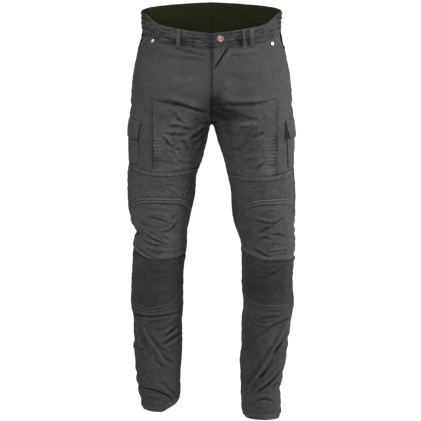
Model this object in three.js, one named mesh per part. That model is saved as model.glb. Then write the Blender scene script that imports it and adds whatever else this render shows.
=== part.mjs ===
// Cargo jeans, filled out as if worn. Millimetres, +Z up. The front faces -Y and the
// wearer's left is +X. The origin is the middle of the waist opening, level with the
// side tops of the waistband, which is where the wearer holds the garment.
// Every piece of cloth is a closed wall on one trouser surface: u runs from the front
// centre or inseam (0) over the front (0.25) and the side seam (0.5) to the back centre
// or inseam (1), and z is the height.
import * as THREE from 'three';

// Cloth and its seams
const CLOTH = 1.6;
const BAND_THICKNESS = 2.6;
const PATCH_THICKNESS = 1.3;
const SEAM_GAP = 0.3;
const PATCH_LIFT = 0.8;
const BAND_PROUD = 0.8;

// Rise: where the centre seams start to turn under, and the crotch point
const CROTCH = { z: -285, y: 10 };
const FRONT_RISE_TOP = -175;
const BACK_RISE_TOP = -165;

// Depths of the body and legs: y of the front, the back and the side seam at each height,
// and how much the front and back fall away towards the side
const PROFILE = [
  { z: 30, front: -92, back: 97, seam: 4, slope: 0.33 },
  { z: -10, front: -94, back: 100, seam: 4, slope: 0.33 },
  { z: -50, front: -97, back: 104, seam: 4, slope: 0.30 },
  { z: -95, front: -106, back: 116, seam: 4, slope: 0.22 },
  { z: -125, front: -112, back: 126, seam: 4, slope: 0.15 },
  { z: -160, front: -118, back: 137, seam: 4, slope: 0.08 },
  { z: -200, front: -122, back: 143, seam: 4, slope: 0.02 },
  { z: -240, front: -122, back: 141, seam: 5, slope: 0 },
  { z: -285, front: -119, back: 130, seam: 5, slope: 0 },
  { z: -330, front: -113, back: 118, seam: 4, slope: 0 },
  { z: -400, front: -103, back: 104, seam: 1, slope: 0 },
  { z: -470, front: -94, back: 92, seam: -2, slope: 0 },
  { z: -540, front: -90, back: 80, seam: -5, slope: 0 },
  { z: -600, front: -88, back: 71, seam: -7, slope: 0 },
  { z: -660, front: -84, back: 70, seam: -5, slope: 0 },
  { z: -720, front: -76, back: 77, seam: 1, slope: 0 },
  { z: -800, front: -66, back: 86, seam: 9, slope: 0 },
  { z: -880, front: -58, back: 85, seam: 13, slope: 0 },
  { z: -960, front: -52, back: 79, seam: 14, slope: 0 },
  { z: -1080, front: -48, back: 75, seam: 14, slope: 0 },
];

// The centre lines above the rise
const CENTRE = [
  { z: 30, front: -106, back: 111 },
  { z: -50, front: -110, back: 114 },
  { z: -95, front: -113, back: 117 },
  { z: -160, front: -114, back: 121 },
  { z: -285, front: -114, back: 121 },
];

// Outlines from the front: distance from the middle to the inner and outer edge
const HIP = [
  { z: 30, inner: 0.2, outer: 182 },
  { z: -10, inner: 0.2, outer: 181 },
  { z: -50, inner: 0.2, outer: 178.5 },
  { z: -75, inner: 0.2, outer: 182 },
  { z: -95, inner: 0.2, outer: 188 },
  { z: -125, inner: 0.2, outer: 194.5 },
  { z: -160, inner: 0.2, outer: 201.5 },
  { z: -210, inner: 0.2, outer: 206.5 },
  { z: -260, inner: 0.2, outer: 210 },
  { z: -285, inner: 0.2, outer: 211 },
];
const OUTLINE = {
  left: [
    ...HIP,
    { z: -303, inner: 8, outer: 212 },
    { z: -345, inner: 19, outer: 212 },
    { z: -387, inner: 33, outer: 211.5 },
    { z: -429, inner: 43, outer: 214 },
    { z: -471, inner: 51, outer: 217 },
    { z: -513, inner: 53, outer: 217 },
    { z: -555, inner: 61, outer: 215 },
    { z: -597, inner: 77, outer: 217 },
    { z: -639, inner: 79, outer: 215 },
    { z: -702, inner: 79, outer: 211 },
    { z: -765, inner: 84, outer: 214 },
    { z: -807, inner: 79, outer: 207 },
    { z: -871, inner: 79, outer: 199 },
    { z: -913, inner: 75, outer: 194 },
    { z: -955, inner: 77, outer: 186 },
    { z: -997, inner: 77, outer: 179 },
    { z: -1039, inner: 79, outer: 181 },
    { z: -1080, inner: 82, outer: 178 },
  ],
  right: [
    ...HIP,
    { z: -303, inner: 6, outer: 213 },
    { z: -345, inner: 14, outer: 213 },
    { z: -387, inner: 25, outer: 213 },
    { z: -429, inner: 40, outer: 218 },
    { z: -471, inner: 43, outer: 217 },
    { z: -513, inner: 51, outer: 215 },
    { z: -534, inner: 56, outer: 209 },
    { z: -555, inner: 61, outer: 204 },
    { z: -576, inner: 64, outer: 197 },
    { z: -602, inner: 64, outer: 202 },
    { z: -639, inner: 69, outer: 204 },
    { z: -702, inner: 74, outer: 208 },
    { z: -765, inner: 74, outer: 209 },
    { z: -807, inner: 77, outer: 202 },
    { z: -871, inner: 77, outer: 202 },
    { z: -913, inner: 79, outer: 199 },
    { z: -955, inner: 82, outer: 196 },
    { z: -997, inner: 82, outer: 190 },
    { z: -1018, inner: 84, outer: 185 },
    { z: -1080, inner: 92, outer: 176 },
  ],
};

// Heights of the seams that run round the body, for each leg, against u
const SEAMS = {
  waistTop: [
    { u: 0, left: -46, right: -46 },
    { u: 0.2, left: -38, right: -38 },
    { u: 0.33, left: -26, right: -26 },
    { u: 0.39, left: -9, right: -9 },
    { u: 0.43, left: -2, right: -2 },
    { u: 0.5, left: 0, right: 0 },
    { u: 0.75, left: 9, right: 9 },
    { u: 1, left: 13, right: 13 },
  ],
  bandBottom: [
    { u: 0, left: -86, right: -86 },
    { u: 0.2, left: -79, right: -79 },
    { u: 0.33, left: -68, right: -68 },
    { u: 0.42, left: -54, right: -54 },
    { u: 0.5, left: -46, right: -46 },
    { u: 0.75, left: -34, right: -34 },
    { u: 1, left: -28, right: -28 },
  ],
  yoke: [
    { u: 0.5, left: -90, right: -90 },
    { u: 0.75, left: -98, right: -98 },
    { u: 1, left: -112, right: -112 },
  ],
  thigh: [
    { u: 0, left: -234, right: -254 },
    { u: 0.16, left: -228, right: -233 },
    { u: 0.25, left: -226, right: -225 },
    { u: 0.35, left: -216, right: -214 },
    { u: 0.5, left: -210, right: -210 },
  ],
  stretchTop: [
    { u: 0, left: -420, right: -402 },
    { u: 0.25, left: -421, right: -408 },
    { u: 0.5, left: -403, right: -392 },
  ],
  kneeArch: [
    { u: 0, left: -590, right: -552 },
    { u: 0.05, left: -556, right: -514 },
    { u: 0.09, left: -526, right: -494 },
    { u: 0.12, left: -508, right: -486 },
    { u: 0.155, left: -496, right: -479 },
    { u: 0.2, left: -485, right: -477 },
    { u: 0.25, left: -480, right: -475 },
    { u: 0.34, left: -479, right: -477 },
    { u: 0.4, left: -484, right: -489 },
    { u: 0.43, left: -493, right: -512 },
    { u: 0.5, left: -524, right: -545 },
  ],
  kneeSeam: [
    { u: 0, left: -618, right: -622 },
    { u: 0.15, left: -631, right: -636 },
    { u: 0.25, left: -640, right: -638 },
    { u: 0.4, left: -642, right: -625 },
    { u: 0.5, left: -640, right: -612 },
  ],
  backKnee: [
    { u: 0.5, left: -640, right: -612 },
    { u: 0.75, left: -634, right: -622 },
    { u: 1, left: -618, right: -622 },
  ],
  kneeBottom: [
    { u: 0, left: -735, right: -704 },
    { u: 0.055, left: -746, right: -722 },
    { u: 0.1, left: -755, right: -746 },
    { u: 0.19, left: -767, right: -768 },
    { u: 0.3, left: -771, right: -776 },
    { u: 0.4, left: -769, right: -769 },
    { u: 0.5, left: -757, right: -756 },
  ],
  hem: [
    { u: 0, left: -1045, right: -1012 },
    { u: 0.1, left: -1062, right: -1027 },
    { u: 0.16, left: -1064, right: -1034 },
    { u: 0.25, left: -1065, right: -1044 },
    { u: 0.42, left: -1066, right: -1042 },
    { u: 0.5, left: -1058, right: -1037 },
    { u: 0.75, left: -1048, right: -1030 },
    { u: 1, left: -1045, right: -1012 },
  ],
};

// Where the seam between the thigh's front and side panels runs
const THIGH_SIDE_U = { left: 0.35, right: 0.325 };

// The largest folds, each a soft trough (negative) or ridge along x, z points
const FOLDS = [
  { face: 'front', path: [[-164, -525], [-132, -532], [-100, -541]], depth: -4, width: 8 },
  { face: 'front', path: [[-180, -564], [-142, -583], [-100, -603]], depth: -5, width: 8 },
  { face: 'front', path: [[-168, -550], [-128, -565], [-92, -580]], depth: 3.5, width: 8 },
  { face: 'front', path: [[96, -531], [147, -543], [188, -527]], depth: -5, width: 8 },
  { face: 'front', path: [[124, -570], [150, -556], [175, -541]], depth: -4, width: 8 },
  { face: 'front', path: [[121, -582], [160, -588], [195, -583]], depth: -5, width: 8 },
  { face: 'front', path: [[86, -609], [118, -618], [150, -630]], depth: -4, width: 9 },
  { face: 'front', path: [[-177, -821], [-161, -857], [-126, -899]], depth: 6, width: 11 },
  { face: 'front', path: [[-142, -853], [-119, -862], [-81, -831]], depth: -6, width: 10 },
  { face: 'front', path: [[-180, -979], [-132, -982], [-103, -1010]], depth: -6, width: 9 },
  { face: 'front', path: [[201, -808], [150, -887], [102, -974]], depth: 7, width: 11 },
  { face: 'front', path: [[186, -834], [171, -868], [147, -915]], depth: -5, width: 12 },
  { face: 'front', path: [[191, -928], [147, -974], [108, -1000]], depth: -6, width: 10 },
  { face: 'front', path: [[108, -805], [156, -810], [205, -798]], depth: -5, width: 9 },
  { face: 'front', path: [[-135, -214], [-72, -228], [-14, -254]], depth: -4, width: 11 },
  { face: 'front', path: [[20, -226], [90, -229], [160, -216]], depth: -3, width: 11 },
  { face: 'back', path: [[70, -560], [130, -574], [190, -556]], depth: -7, width: 12 },
  { face: 'back', path: [[76, -622], [132, -606], [192, -618]], depth: -6, width: 12 },
  { face: 'back', path: [[-66, -566], [-128, -578], [-186, -558]], depth: -7, width: 12 },
  { face: 'back', path: [[-74, -616], [-134, -602], [-192, -620]], depth: -6, width: 12 },
  { face: 'back', path: [[24, -296], [84, -276], [160, -286]], depth: -5, width: 14 },
  { face: 'back', path: [[-24, -296], [-84, -276], [-160, -286]], depth: -5, width: 14 },
];
const FOLD_FADE_U = 0.07;

const COLOURS = {
  cloth: 0x4b4b4d,
  dark: 0x363636,
  shin: 0x404041,
  copper: 0xb98a7c,
  silver: 0xcfd0d2,
};

const clamp = (value) => Math.min(1, Math.max(0, value));
const mix = (a, b, t) => a + (b - a) * t;
const ease = (t) => clamp(t) ** 2 * (3 - 2 * clamp(t));

// A smooth value of one column of a table, without overshoot, at key = at
function column(table, key, name, at) {
  const last = table.length - 1;
  const down = table[last][key] < table[0][key];
  let i = 0;
  while (i < last - 1 && (down ? at < table[i + 1][key] : at > table[i + 1][key])) i += 1;
  const secant = (k) => (table[k + 1][name] - table[k][name]) / (table[k + 1][key] - table[k][key]);
  const slope = (k) => {
    if (k === 0) return secant(0);
    if (k === last) return secant(last - 1);
    const before = secant(k - 1);
    const after = secant(k);
    return before * after <= 0 ? 0 : (2 * before * after) / (before + after);
  };
  const span = table[i + 1][key] - table[i][key];
  const t = clamp((at - table[i][key]) / span);
  const s = 1 - t;
  return table[i][name] * (1 + 2 * t) * s * s + slope(i) * span * t * s * s
    + table[i + 1][name] * t * t * (3 - 2 * t) - slope(i + 1) * span * t * t * s;
}

const seamAt = (seam, side) => (u) => column(SEAMS[seam], 'u', side, u);

// One quarter of a section, leaving along one direction and arriving along another
function quarter(from, leave, to, arrive, t) {
  const chord = to.clone().sub(from);
  const turn = clamp(Math.acos(THREE.MathUtils.clamp(leave.dot(arrive), -1, 1)) / (Math.PI / 2));
  const handle = (way) => mix(0.34 * chord.length(), 0.5523 * Math.abs(chord.dot(way)), turn);
  const first = from.clone().addScaledVector(leave, handle(leave));
  const second = to.clone().addScaledVector(arrive, -handle(arrive));
  return new THREE.CubicBezierCurve(from, first, second, to).getPoint(t);
}

// The centre seam at height z: its y, and how far the section has turned to meet it
function rise(z, top, centreY) {
  if (z <= CROTCH.z) return { y: column(PROFILE, 'z', 'seam', z) + (CROTCH.y - 5), turn: 0 };
  if (z >= top) return { y: centreY, turn: 1 };
  const across = Math.sqrt(1 - ((top - z) / (top - CROTCH.z)) ** 2);
  return { y: mix(CROTCH.y, centreY, across), turn: across };
}

// The plain trouser surface, before folds
function plain(side, u, z) {
  const way = side === 'left' ? 1 : -1;
  const inner = column(OUTLINE[side], 'z', 'inner', z);
  const outer = column(OUTLINE[side], 'z', 'outer', z);
  const middle = (inner + outer) / 2;
  const slope = column(PROFILE, 'z', 'slope', z);
  const frontRise = rise(z, FRONT_RISE_TOP, column(CENTRE, 'z', 'front', z));
  const backRise = rise(z, BACK_RISE_TOP, column(CENTRE, 'z', 'back', z));
  const direction = (x, y) => new THREE.Vector2(x, y).normalize();
  const frontTurn = (frontRise.turn * Math.PI) / 2;
  const backTurn = (backRise.turn * Math.PI) / 2;
  const points = [
    new THREE.Vector2(inner, frontRise.y),
    new THREE.Vector2(middle, column(PROFILE, 'z', 'front', z)),
    new THREE.Vector2(outer, column(PROFILE, 'z', 'seam', z)),
    new THREE.Vector2(middle, column(PROFILE, 'z', 'back', z)),
    new THREE.Vector2(inner, backRise.y),
  ];
  const ways = [
    direction(Math.sin(frontTurn), -Math.cos(frontTurn)),
    direction(1, slope),
    direction(0, 1),
    direction(-1, slope),
    direction(-Math.sin(backTurn), -Math.cos(backTurn)),
  ];
  const q = Math.min(3, Math.floor(u * 4));
  const point = quarter(points[q], ways[q], points[q + 1], ways[q + 1], u * 4 - q);
  return new THREE.Vector3(way * point.x, point.y, z);
}

// The outward direction of the surface
function outward(side, u, z) {
  const du = u < 0.5 ? 0.002 : -0.002;
  const dz = z > CROTCH.z ? 0.25 : -0.25;
  const here = plain(side, u, z);
  const along = plain(side, u + du, z).sub(here).multiplyScalar(Math.sign(du));
  const up = plain(side, u, z + dz).sub(here).multiplyScalar(Math.sign(dz));
  const normal = along.cross(up).normalize();
  return side === 'left' ? normal : normal.negate();
}

// How far one fold moves a point in or out: a soft trough with low banks
function foldShape(fold, x, z) {
  const points = fold.path.map(([px, pz]) => new THREE.Vector3(px, pz, 0));
  const here = new THREE.Vector3(x, z, 0);
  let best = Infinity;
  let along = 0;
  points.slice(1).forEach((end, k) => {
    const stretch = new THREE.Line3(points[k], end);
    const t = stretch.closestPointToPointParameter(here, true);
    const distance = stretch.at(t, new THREE.Vector3()).distanceTo(here);
    if (distance < best) {
      best = distance;
      along = (k + t) / (points.length - 1);
    }
  });
  const taper = ease(along / 0.3) * ease((1 - along) / 0.3);
  const reach = best / fold.width;
  return fold.depth * taper * (Math.exp(-(reach ** 2)) - 0.3 * Math.exp(-((reach - 2) ** 2)));
}

function folds(side, u, point) {
  const face = u < 0.5 ? 'front' : 'back';
  const inFace = u < 0.5 ? u : u - 0.5;
  const fade = ease(inFace / FOLD_FADE_U) * ease((0.5 - inFace) / FOLD_FADE_U);
  const near = FOLDS.filter((fold) => fold.face === face && Math.sign(fold.path[0][0]) === Math.sign(point.x));
  return fade * near.reduce((sum, fold) => sum + foldShape(fold, point.x, point.z), 0);
}

// A point of the surface moved out by offset
function surface(side, u, z, offset) {
  const point = plain(side, u, z);
  return point.clone().addScaledVector(outward(side, u, z), folds(side, u, point) + offset);
}

// A closed wall over a grid: place(s, t) gives its outer and inner point
function wall(name, colour, nu, nv, place) {
  const grid = [];
  for (let j = 0; j <= nv; j += 1) {
    for (let i = 0; i <= nu; i += 1) grid.push(place(i / nu, j / nv));
  }
  const at = (i, j) => j * (nu + 1) + i;
  // Each edge steps back by half the seam gap, towards the next row or column
  const moved = grid.map((pair) => ({ outer: pair.outer.clone(), inner: pair.inner.clone() }));
  const stepBack = (edge, next) => ['outer', 'inner'].forEach((layer) => {
    const way = grid[next][layer].clone().sub(grid[edge][layer]).normalize();
    moved[edge][layer].addScaledVector(way, SEAM_GAP / 2);
  });
  for (let i = 0; i <= nu; i += 1) {
    stepBack(at(i, 0), at(i, 1));
    stepBack(at(i, nv), at(i, nv - 1));
  }
  for (let j = 0; j <= nv; j += 1) {
    stepBack(at(0, j), at(1, j));
    stepBack(at(nu, j), at(nu - 1, j));
  }
  const count = grid.length;
  const positions = [];
  ['outer', 'inner'].forEach((layer) => moved.forEach((pair) => positions.push(...pair[layer].toArray())));
  const faces = [];
  const quad = (a, b, c, d) => faces.push(a, b, c, a, c, d);
  for (let j = 0; j < nv; j += 1) {
    for (let i = 0; i < nu; i += 1) {
      const corners = [at(i, j), at(i, j + 1), at(i + 1, j + 1), at(i + 1, j)];
      quad(...corners);
      quad(...corners.map((k) => k + count).reverse());
    }
  }
  const rim = [];
  for (let i = 0; i < nu; i += 1) rim.push(at(i, 0));
  for (let j = 0; j < nv; j += 1) rim.push(at(nu, j));
  for (let i = nu; i > 0; i -= 1) rim.push(at(i, nv));
  for (let j = nv; j > 0; j -= 1) rim.push(at(0, j));
  rim.forEach((a, k) => {
    const b = rim[(k + 1) % rim.length];
    quad(a, b, b + count, a + count);
  });
  const geometry = new THREE.BufferGeometry();
  geometry.setAttribute('position', new THREE.Float32BufferAttribute(positions, 3));
  geometry.setIndex(faces);
  return finish(name, colour, outwards(geometry), 0.92, 0);
}

// Turns the faces over if the mesh is inside out
function outwards(geometry) {
  const position = geometry.getAttribute('position');
  const index = geometry.getIndex();
  const corner = (k) => new THREE.Vector3().fromBufferAttribute(position, index.getX(k));
  let volume = 0;
  for (let k = 0; k < index.count; k += 3) {
    volume += corner(k).dot(corner(k + 1).cross(corner(k + 2)));
  }
  if (volume < 0) geometry.setIndex([...index.array].reverse());
  geometry.computeVertexNormals();
  return geometry;
}

function finish(name, colour, geometry, roughness, metalness) {
  const mesh = new THREE.Mesh(geometry, new THREE.MeshStandardMaterial({ color: colour, roughness, metalness }));
  mesh.name = name;
  return mesh;
}

// A panel of the trouser surface between two lines of u and two seams
function panel(name, colour, side, shape) {
  const { fromU, toU, top, bottom, nu, nv } = shape;
  const rows = shape.rows ?? ((u, t) => mix(top(u), bottom(u), t));
  const relief = shape.relief ?? (() => 0);
  return wall(name, colour, nu, nv, (s, t) => {
    const u = mix(fromU(t), toU(t), s);
    const z = rows(u, t);
    const offset = shape.offset ?? 0;
    return {
      outer: surface(side, u, z, offset + relief(s, t)),
      inner: surface(side, u, z, offset - (shape.thickness ?? CLOTH)),
    };
  });
}

const constant = (value) => () => value;

// Rows that crowd where the centre seam turns under to the crotch point, at the edge u = seamU,
// and spread out evenly away from it. turning is the share of the rows above the crotch.
const CROWDED_REACH = 0.14;

function crotchRows(top, bottom, seamU, turning) {
  return (u, t) => {
    const even = mix(top(u), bottom(u), t);
    const start = top(seamU);
    const crowded = t < turning
      ? mix(start, CROTCH.z, Math.sin((t / turning) * (Math.PI / 2)))
      : mix(CROTCH.z, bottom(seamU), (t - turning) / (1 - turning));
    const near = clamp(1 - Math.abs(u - seamU) / CROWDED_REACH) ** 2;
    return mix(even, mix(top(u), bottom(u), (start - crowded) / (start - bottom(seamU))), near);
  };
}

// Waistband: w runs from the overlapping end at the front, round the left side and the
// back to the right side, and on under the overlap
const bandSide = (w) => (w < 0 || (w > 1 && w < 2) ? 'right' : 'left');
const bandU = (w) => {
  if (w < 0) return -w;
  if (w <= 1) return w;
  return w <= 2 ? 2 - w : w - 2;
};
const OVERLAP_END = -0.008;
const UNDERLAP_END = 2.075;

function waistband() {
  const under = BAND_THICKNESS + 0.4;
  return wall('waistband', COLOURS.cloth, 64, 2, (s, t) => {
    const w = mix(OVERLAP_END, UNDERLAP_END, s);
    const side = bandSide(w);
    const u = bandU(w);
    const z = mix(seamAt('waistTop', side)(u), seamAt('bandBottom', side)(u), t);
    const offset = BAND_PROUD - under * ease((w - 1.93) / 0.055);
    return { outer: surface(side, u, z, offset), inner: surface(side, u, z, offset - BAND_THICKNESS) };
  });
}

// Fly: the doubled edge of the left front, rounded at its foot, laid over both fronts
const FLY = { width: 0.085, foot: -214, roundFrom: 0.72 };

function fly() {
  return wall('fly', COLOURS.cloth, 4, 10, (s, t) => {
    const round = Math.sqrt(1 - clamp((t - FLY.roundFrom) / (1 - FLY.roundFrom)) ** 2 * 0.93);
    const w = mix(OVERLAP_END, FLY.width * round, s);
    const side = bandSide(w);
    const u = bandU(w);
    const z = mix(seamAt('bandBottom', side)(u), FLY.foot, t);
    return {
      outer: surface(side, u, z, PATCH_LIFT + PATCH_THICKNESS),
      inner: surface(side, u, z, PATCH_LIFT),
    };
  });
}

// A patch laid on a panel, with its own outer and inner height over it
function patch(name, colour, side, box, nu, nv, heights) {
  return wall(name, colour, nu, nv, (s, t) => {
    const u = mix(box.u[0], box.u[1], s);
    const z = mix(box.z[0], box.z[1], t);
    const { outer, inner } = heights(s, t);
    return { outer: surface(side, u, z, outer), inner: surface(side, u, z, inner) };
  });
}

// Belt loops: narrow strips sewn at the top of the band and just under it
const LOOP = { width: 0.024, thickness: 1.4, bow: 1.3, drop: 7 };
const LOOPS = [
  { name: 'belt_loop_right_front', side: 'right', u: 0.235 },
  { name: 'belt_loop_left_front_inner', side: 'left', u: 0.232, width: 0.017 },
  { name: 'belt_loop_left_front_outer', side: 'left', u: 0.268, width: 0.017 },
  { name: 'belt_loop_right_back', side: 'right', u: 0.66 },
  { name: 'belt_loop_left_back', side: 'left', u: 0.66 },
];

function loopHeights(s, t) {
  const lift = BAND_PROUD + SEAM_GAP + LOOP.bow * Math.sin(Math.PI * t);
  return { outer: lift + LOOP.thickness, inner: lift };
}

function beltLoop({ name, side, u, width = LOOP.width }) {
  const top = seamAt('waistTop', side)(u) - 1;
  const bottom = seamAt('bandBottom', side)(u) - LOOP.drop;
  return patch(name, COLOURS.cloth, side, { u: [u - width / 2, u + width / 2], z: [top, bottom] }, 1, 7, loopHeights);
}

// The loop over the back centre seam spans both halves
function centreLoop() {
  return wall('belt_loop_back', COLOURS.cloth, 2, 7, (s, t) => {
    const w = mix(1 - LOOP.width / 2, 1 + LOOP.width / 2, s);
    const side = bandSide(w);
    const u = bandU(w);
    const z = mix(seamAt('waistTop', side)(u) - 1, seamAt('bandBottom', side)(u) - LOOP.drop, t);
    const { outer, inner } = loopHeights(s, t);
    return { outer: surface(side, u, z, outer), inner: surface(side, u, z, inner) };
  });
}

// Round metal pieces, turned about the outward direction of the cloth they sit on
const BUTTON = { u: 0.058, z: -60, radius: 8.8 };
const RIVET = { radius: 4.7, left: { u: 0.369, z: -77 }, right: { u: 0.359, z: -69 } };

function turned(name, colour, profile, sides, side, u, z, lift) {
  const points = profile.map(([r, h]) => new THREE.Vector2(r, h));
  const mesh = finish(name, colour, new THREE.LatheGeometry(points, sides), 0.35, 0.9);
  mesh.quaternion.setFromUnitVectors(new THREE.Vector3(0, 1, 0), outward(side, u, z));
  mesh.position.copy(surface(side, u, z, lift));
  return mesh;
}

function button() {
  const r = BUTTON.radius;
  const profile = [[0, 0], [r * 0.5, 0], [r * 0.5, 1.4], [r * 0.95, 1.6], [r, 2.4], [r * 0.9, 3.3],
    [r * 0.72, 3.5], [r * 0.64, 3.0], [r * 0.3, 3.4], [0, 3.5]];
  return turned('waist_button', COLOURS.copper, profile, 20, 'left', BUTTON.u, BUTTON.z, BAND_PROUD + SEAM_GAP);
}

function rivet(side) {
  const r = RIVET.radius;
  const profile = [[0, 0], [r, 0], [r * 0.95, 0.7], [r * 0.55, 1.3], [0, 1.5]];
  const { u, z } = RIVET[side];
  return turned(`pocket_rivet_${side}`, COLOURS.silver, profile, 16, side, u, z, SEAM_GAP);
}

// Front pockets: the front panel is cut back along the mouth, and a facing lies behind it
const POCKET_MOUTH = { topU: 0.395, meetsSide: 0.62 };
const FACING = { under: 0.04, foot: -205, behind: 1.6 };

const mouthU = (t) => mix(POCKET_MOUTH.topU, 0.5, Math.sin(clamp(t / POCKET_MOUTH.meetsSide) * (Math.PI / 2)));

function frontPanel(side) {
  return panel(`front_${side}`, COLOURS.cloth, side, {
    fromU: constant(0),
    toU: mouthU,
    top: seamAt('bandBottom', side),
    bottom: seamAt('thigh', side),
    nu: 14,
    nv: 9,
  });
}

function pocketFacing(side) {
  return panel(`pocket_facing_${side}`, COLOURS.cloth, side, {
    fromU: (t) => Math.min(0.485, mouthU(t) - FACING.under),
    toU: constant(0.5),
    top: seamAt('bandBottom', side),
    bottom: constant(FACING.foot),
    nu: 4,
    nv: 6,
    offset: -CLOTH - FACING.behind,
    thickness: PATCH_THICKNESS,
  });
}

// Cargo pockets on the side of each thigh: a body with a bellows fold along its upright
// edges, and a flap over its mouth. The left flap's front corner is turned out.
const CARGO = {
  left: { u: [0.405, 0.62], z: [-292, -400], turnOut: 9 },
  right: { u: [0.385, 0.6], z: [-292, -389], turnOut: 2.5 },
};
const CARGO_FLAP = { above: 16, height: 48, over: 0.006 };
const BELLOWS = { height: 3.2, at: 0.07, width: 0.05 };

function cargoPocket(side) {
  const box = CARGO[side];
  return patch(`cargo_pocket_${side}`, COLOURS.cloth, side, box, 12, 6, (s, t) => {
    const edge = Math.min(s, 1 - s);
    const ridge = BELLOWS.height * Math.exp(-(((edge - BELLOWS.at) / BELLOWS.width) ** 2));
    const crown = 1.5 * Math.sin(Math.PI * s) * Math.sin(Math.PI * t);
    const low = ease((t - 0.25) / 0.25);
    return { outer: PATCH_LIFT + CLOTH + low * (ridge + crown), inner: PATCH_LIFT };
  });
}

function cargoFlap(side) {
  const box = CARGO[side];
  const top = box.z[0] + CARGO_FLAP.above;
  const shape = {
    u: [box.u[0] - CARGO_FLAP.over, box.u[1] + CARGO_FLAP.over],
    z: [top, top - CARGO_FLAP.height],
  };
  return patch(`cargo_flap_${side}`, COLOURS.cloth, side, shape, 8, 5, (s, t) => {
    const corner = ease((t - 0.2) / 0.8) * (0.25 + 0.75 * ease((0.45 - s) / 0.45));
    const lift = PATCH_LIFT + (CLOTH + 2 * SEAM_GAP) * ease(t / 0.2) + box.turnOut * corner;
    return { outer: lift + CLOTH, inner: lift };
  });
}

// Thigh panels
function thighFront(side) {
  const top = seamAt('thigh', side);
  const bottom = seamAt('stretchTop', side);
  return panel(`thigh_front_${side}`, COLOURS.cloth, side, {
    fromU: constant(0),
    toU: constant(THIGH_SIDE_U[side]),
    rows: crotchRows(top, bottom, 0, 6 / 13),
    nu: 11,
    nv: 13,
  });
}

function thighSide(side) {
  return panel(`thigh_side_${side}`, COLOURS.cloth, side, {
    fromU: constant(THIGH_SIDE_U[side]),
    toU: constant(0.5),
    top: seamAt('thigh', side),
    bottom: seamAt('stretchTop', side),
    nu: 5,
    nv: 9,
  });
}

// Stretch panel over the knee, gathered into level ribs
const RIBS = { count: 8, height: 2.4 };

function stretchPanel(side) {
  return panel(`stretch_panel_${side}`, COLOURS.cloth, side, {
    fromU: constant(0),
    toU: constant(0.5),
    top: seamAt('stretchTop', side),
    bottom: seamAt('kneeArch', side),
    nu: 16,
    nv: RIBS.count * 2,
    relief: (s, t) => RIBS.height * Math.sin(Math.PI * RIBS.count * t) ** 2 * Math.sqrt(Math.sin(Math.PI * s)),
  });
}

function kneeUpper(side) {
  return panel(`knee_upper_${side}`, COLOURS.cloth, side, {
    fromU: constant(0),
    toU: constant(0.5),
    top: seamAt('kneeArch', side),
    bottom: seamAt('kneeSeam', side),
    nu: 16,
    nv: 9,
  });
}

function kneePatch(side) {
  return panel(`knee_patch_${side}`, COLOURS.dark, side, {
    fromU: constant(0),
    toU: constant(0.5),
    top: seamAt('kneeSeam', side),
    bottom: seamAt('kneeBottom', side),
    nu: 12,
    nv: 7,
  });
}

function shin(side) {
  return panel(`shin_${side}`, COLOURS.shin, side, {
    fromU: constant(0),
    toU: constant(0.5),
    top: seamAt('kneeBottom', side),
    bottom: seamAt('hem', side),
    nu: 12,
    nv: 16,
  });
}

// Back: a yoke, a seat piece with a patch pocket, a thigh piece and a calf piece on each side
function yoke(side) {
  return panel(`back_yoke_${side}`, COLOURS.cloth, side, {
    fromU: constant(0.5),
    toU: constant(1),
    top: seamAt('bandBottom', side),
    bottom: seamAt('yoke', side),
    nu: 10,
    nv: 3,
  });
}

const BACK_THIGH = { columns: 10, rows: 22, rowsAboveCrotch: 10 };

function backThighRows(side) {
  const { rows, rowsAboveCrotch } = BACK_THIGH;
  return crotchRows(seamAt('yoke', side), seamAt('backKnee', side), 1, rowsAboveCrotch / rows);
}

// The seat piece has the rows above the crotch point, and the thigh piece those below it
function backPart(name, side, fromRow, toRow) {
  const height = backThighRows(side);
  return panel(`${name}_${side}`, COLOURS.cloth, side, {
    fromU: constant(0.5),
    toU: constant(1),
    rows: (u, t) => height(u, mix(fromRow, toRow, t) / BACK_THIGH.rows),
    nu: BACK_THIGH.columns,
    nv: toRow - fromRow,
  });
}

function backSeat(side) {
  return backPart('back_seat', side, 0, BACK_THIGH.rowsAboveCrotch);
}

function backThigh(side) {
  return backPart('back_thigh', side, BACK_THIGH.rowsAboveCrotch, BACK_THIGH.rows);
}

function backCalf(side) {
  return panel(`back_calf_${side}`, COLOURS.shin, side, {
    fromU: constant(0.5),
    toU: constant(1),
    top: seamAt('backKnee', side),
    bottom: seamAt('hem', side),
    nu: BACK_THIGH.columns,
    nv: 11,
  });
}

// The back pocket is made from the seat piece's own points, moved out
const BACK_POCKET = { columns: [3, 8], rows: [1, 7] };

function backPocket(side) {
  const { columns, rows } = BACK_POCKET;
  const height = backThighRows(side);
  return wall(`back_pocket_${side}`, COLOURS.cloth, columns[1] - columns[0], rows[1] - rows[0], (s, t) => {
    const u = mix(0.5, 1, mix(...columns, s) / BACK_THIGH.columns);
    const z = height(u, mix(...rows, t) / BACK_THIGH.rows);
    return {
      outer: surface(side, u, z, PATCH_LIFT + PATCH_THICKNESS),
      inner: surface(side, u, z, PATCH_LIFT),
    };
  });
}

const jeans = new THREE.Group();
jeans.add(waistband(), fly(), button(), centreLoop());
LOOPS.forEach((loop) => jeans.add(beltLoop(loop)));
const PIECES = [frontPanel, pocketFacing, rivet, thighFront, thighSide, cargoPocket, cargoFlap, stretchPanel,
  kneeUpper, kneePatch, shin, yoke, backSeat, backThigh, backCalf, backPocket];
['left', 'right'].forEach((side) => PIECES.forEach((piece) => jeans.add(piece(side))));

export default jeans;
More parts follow.
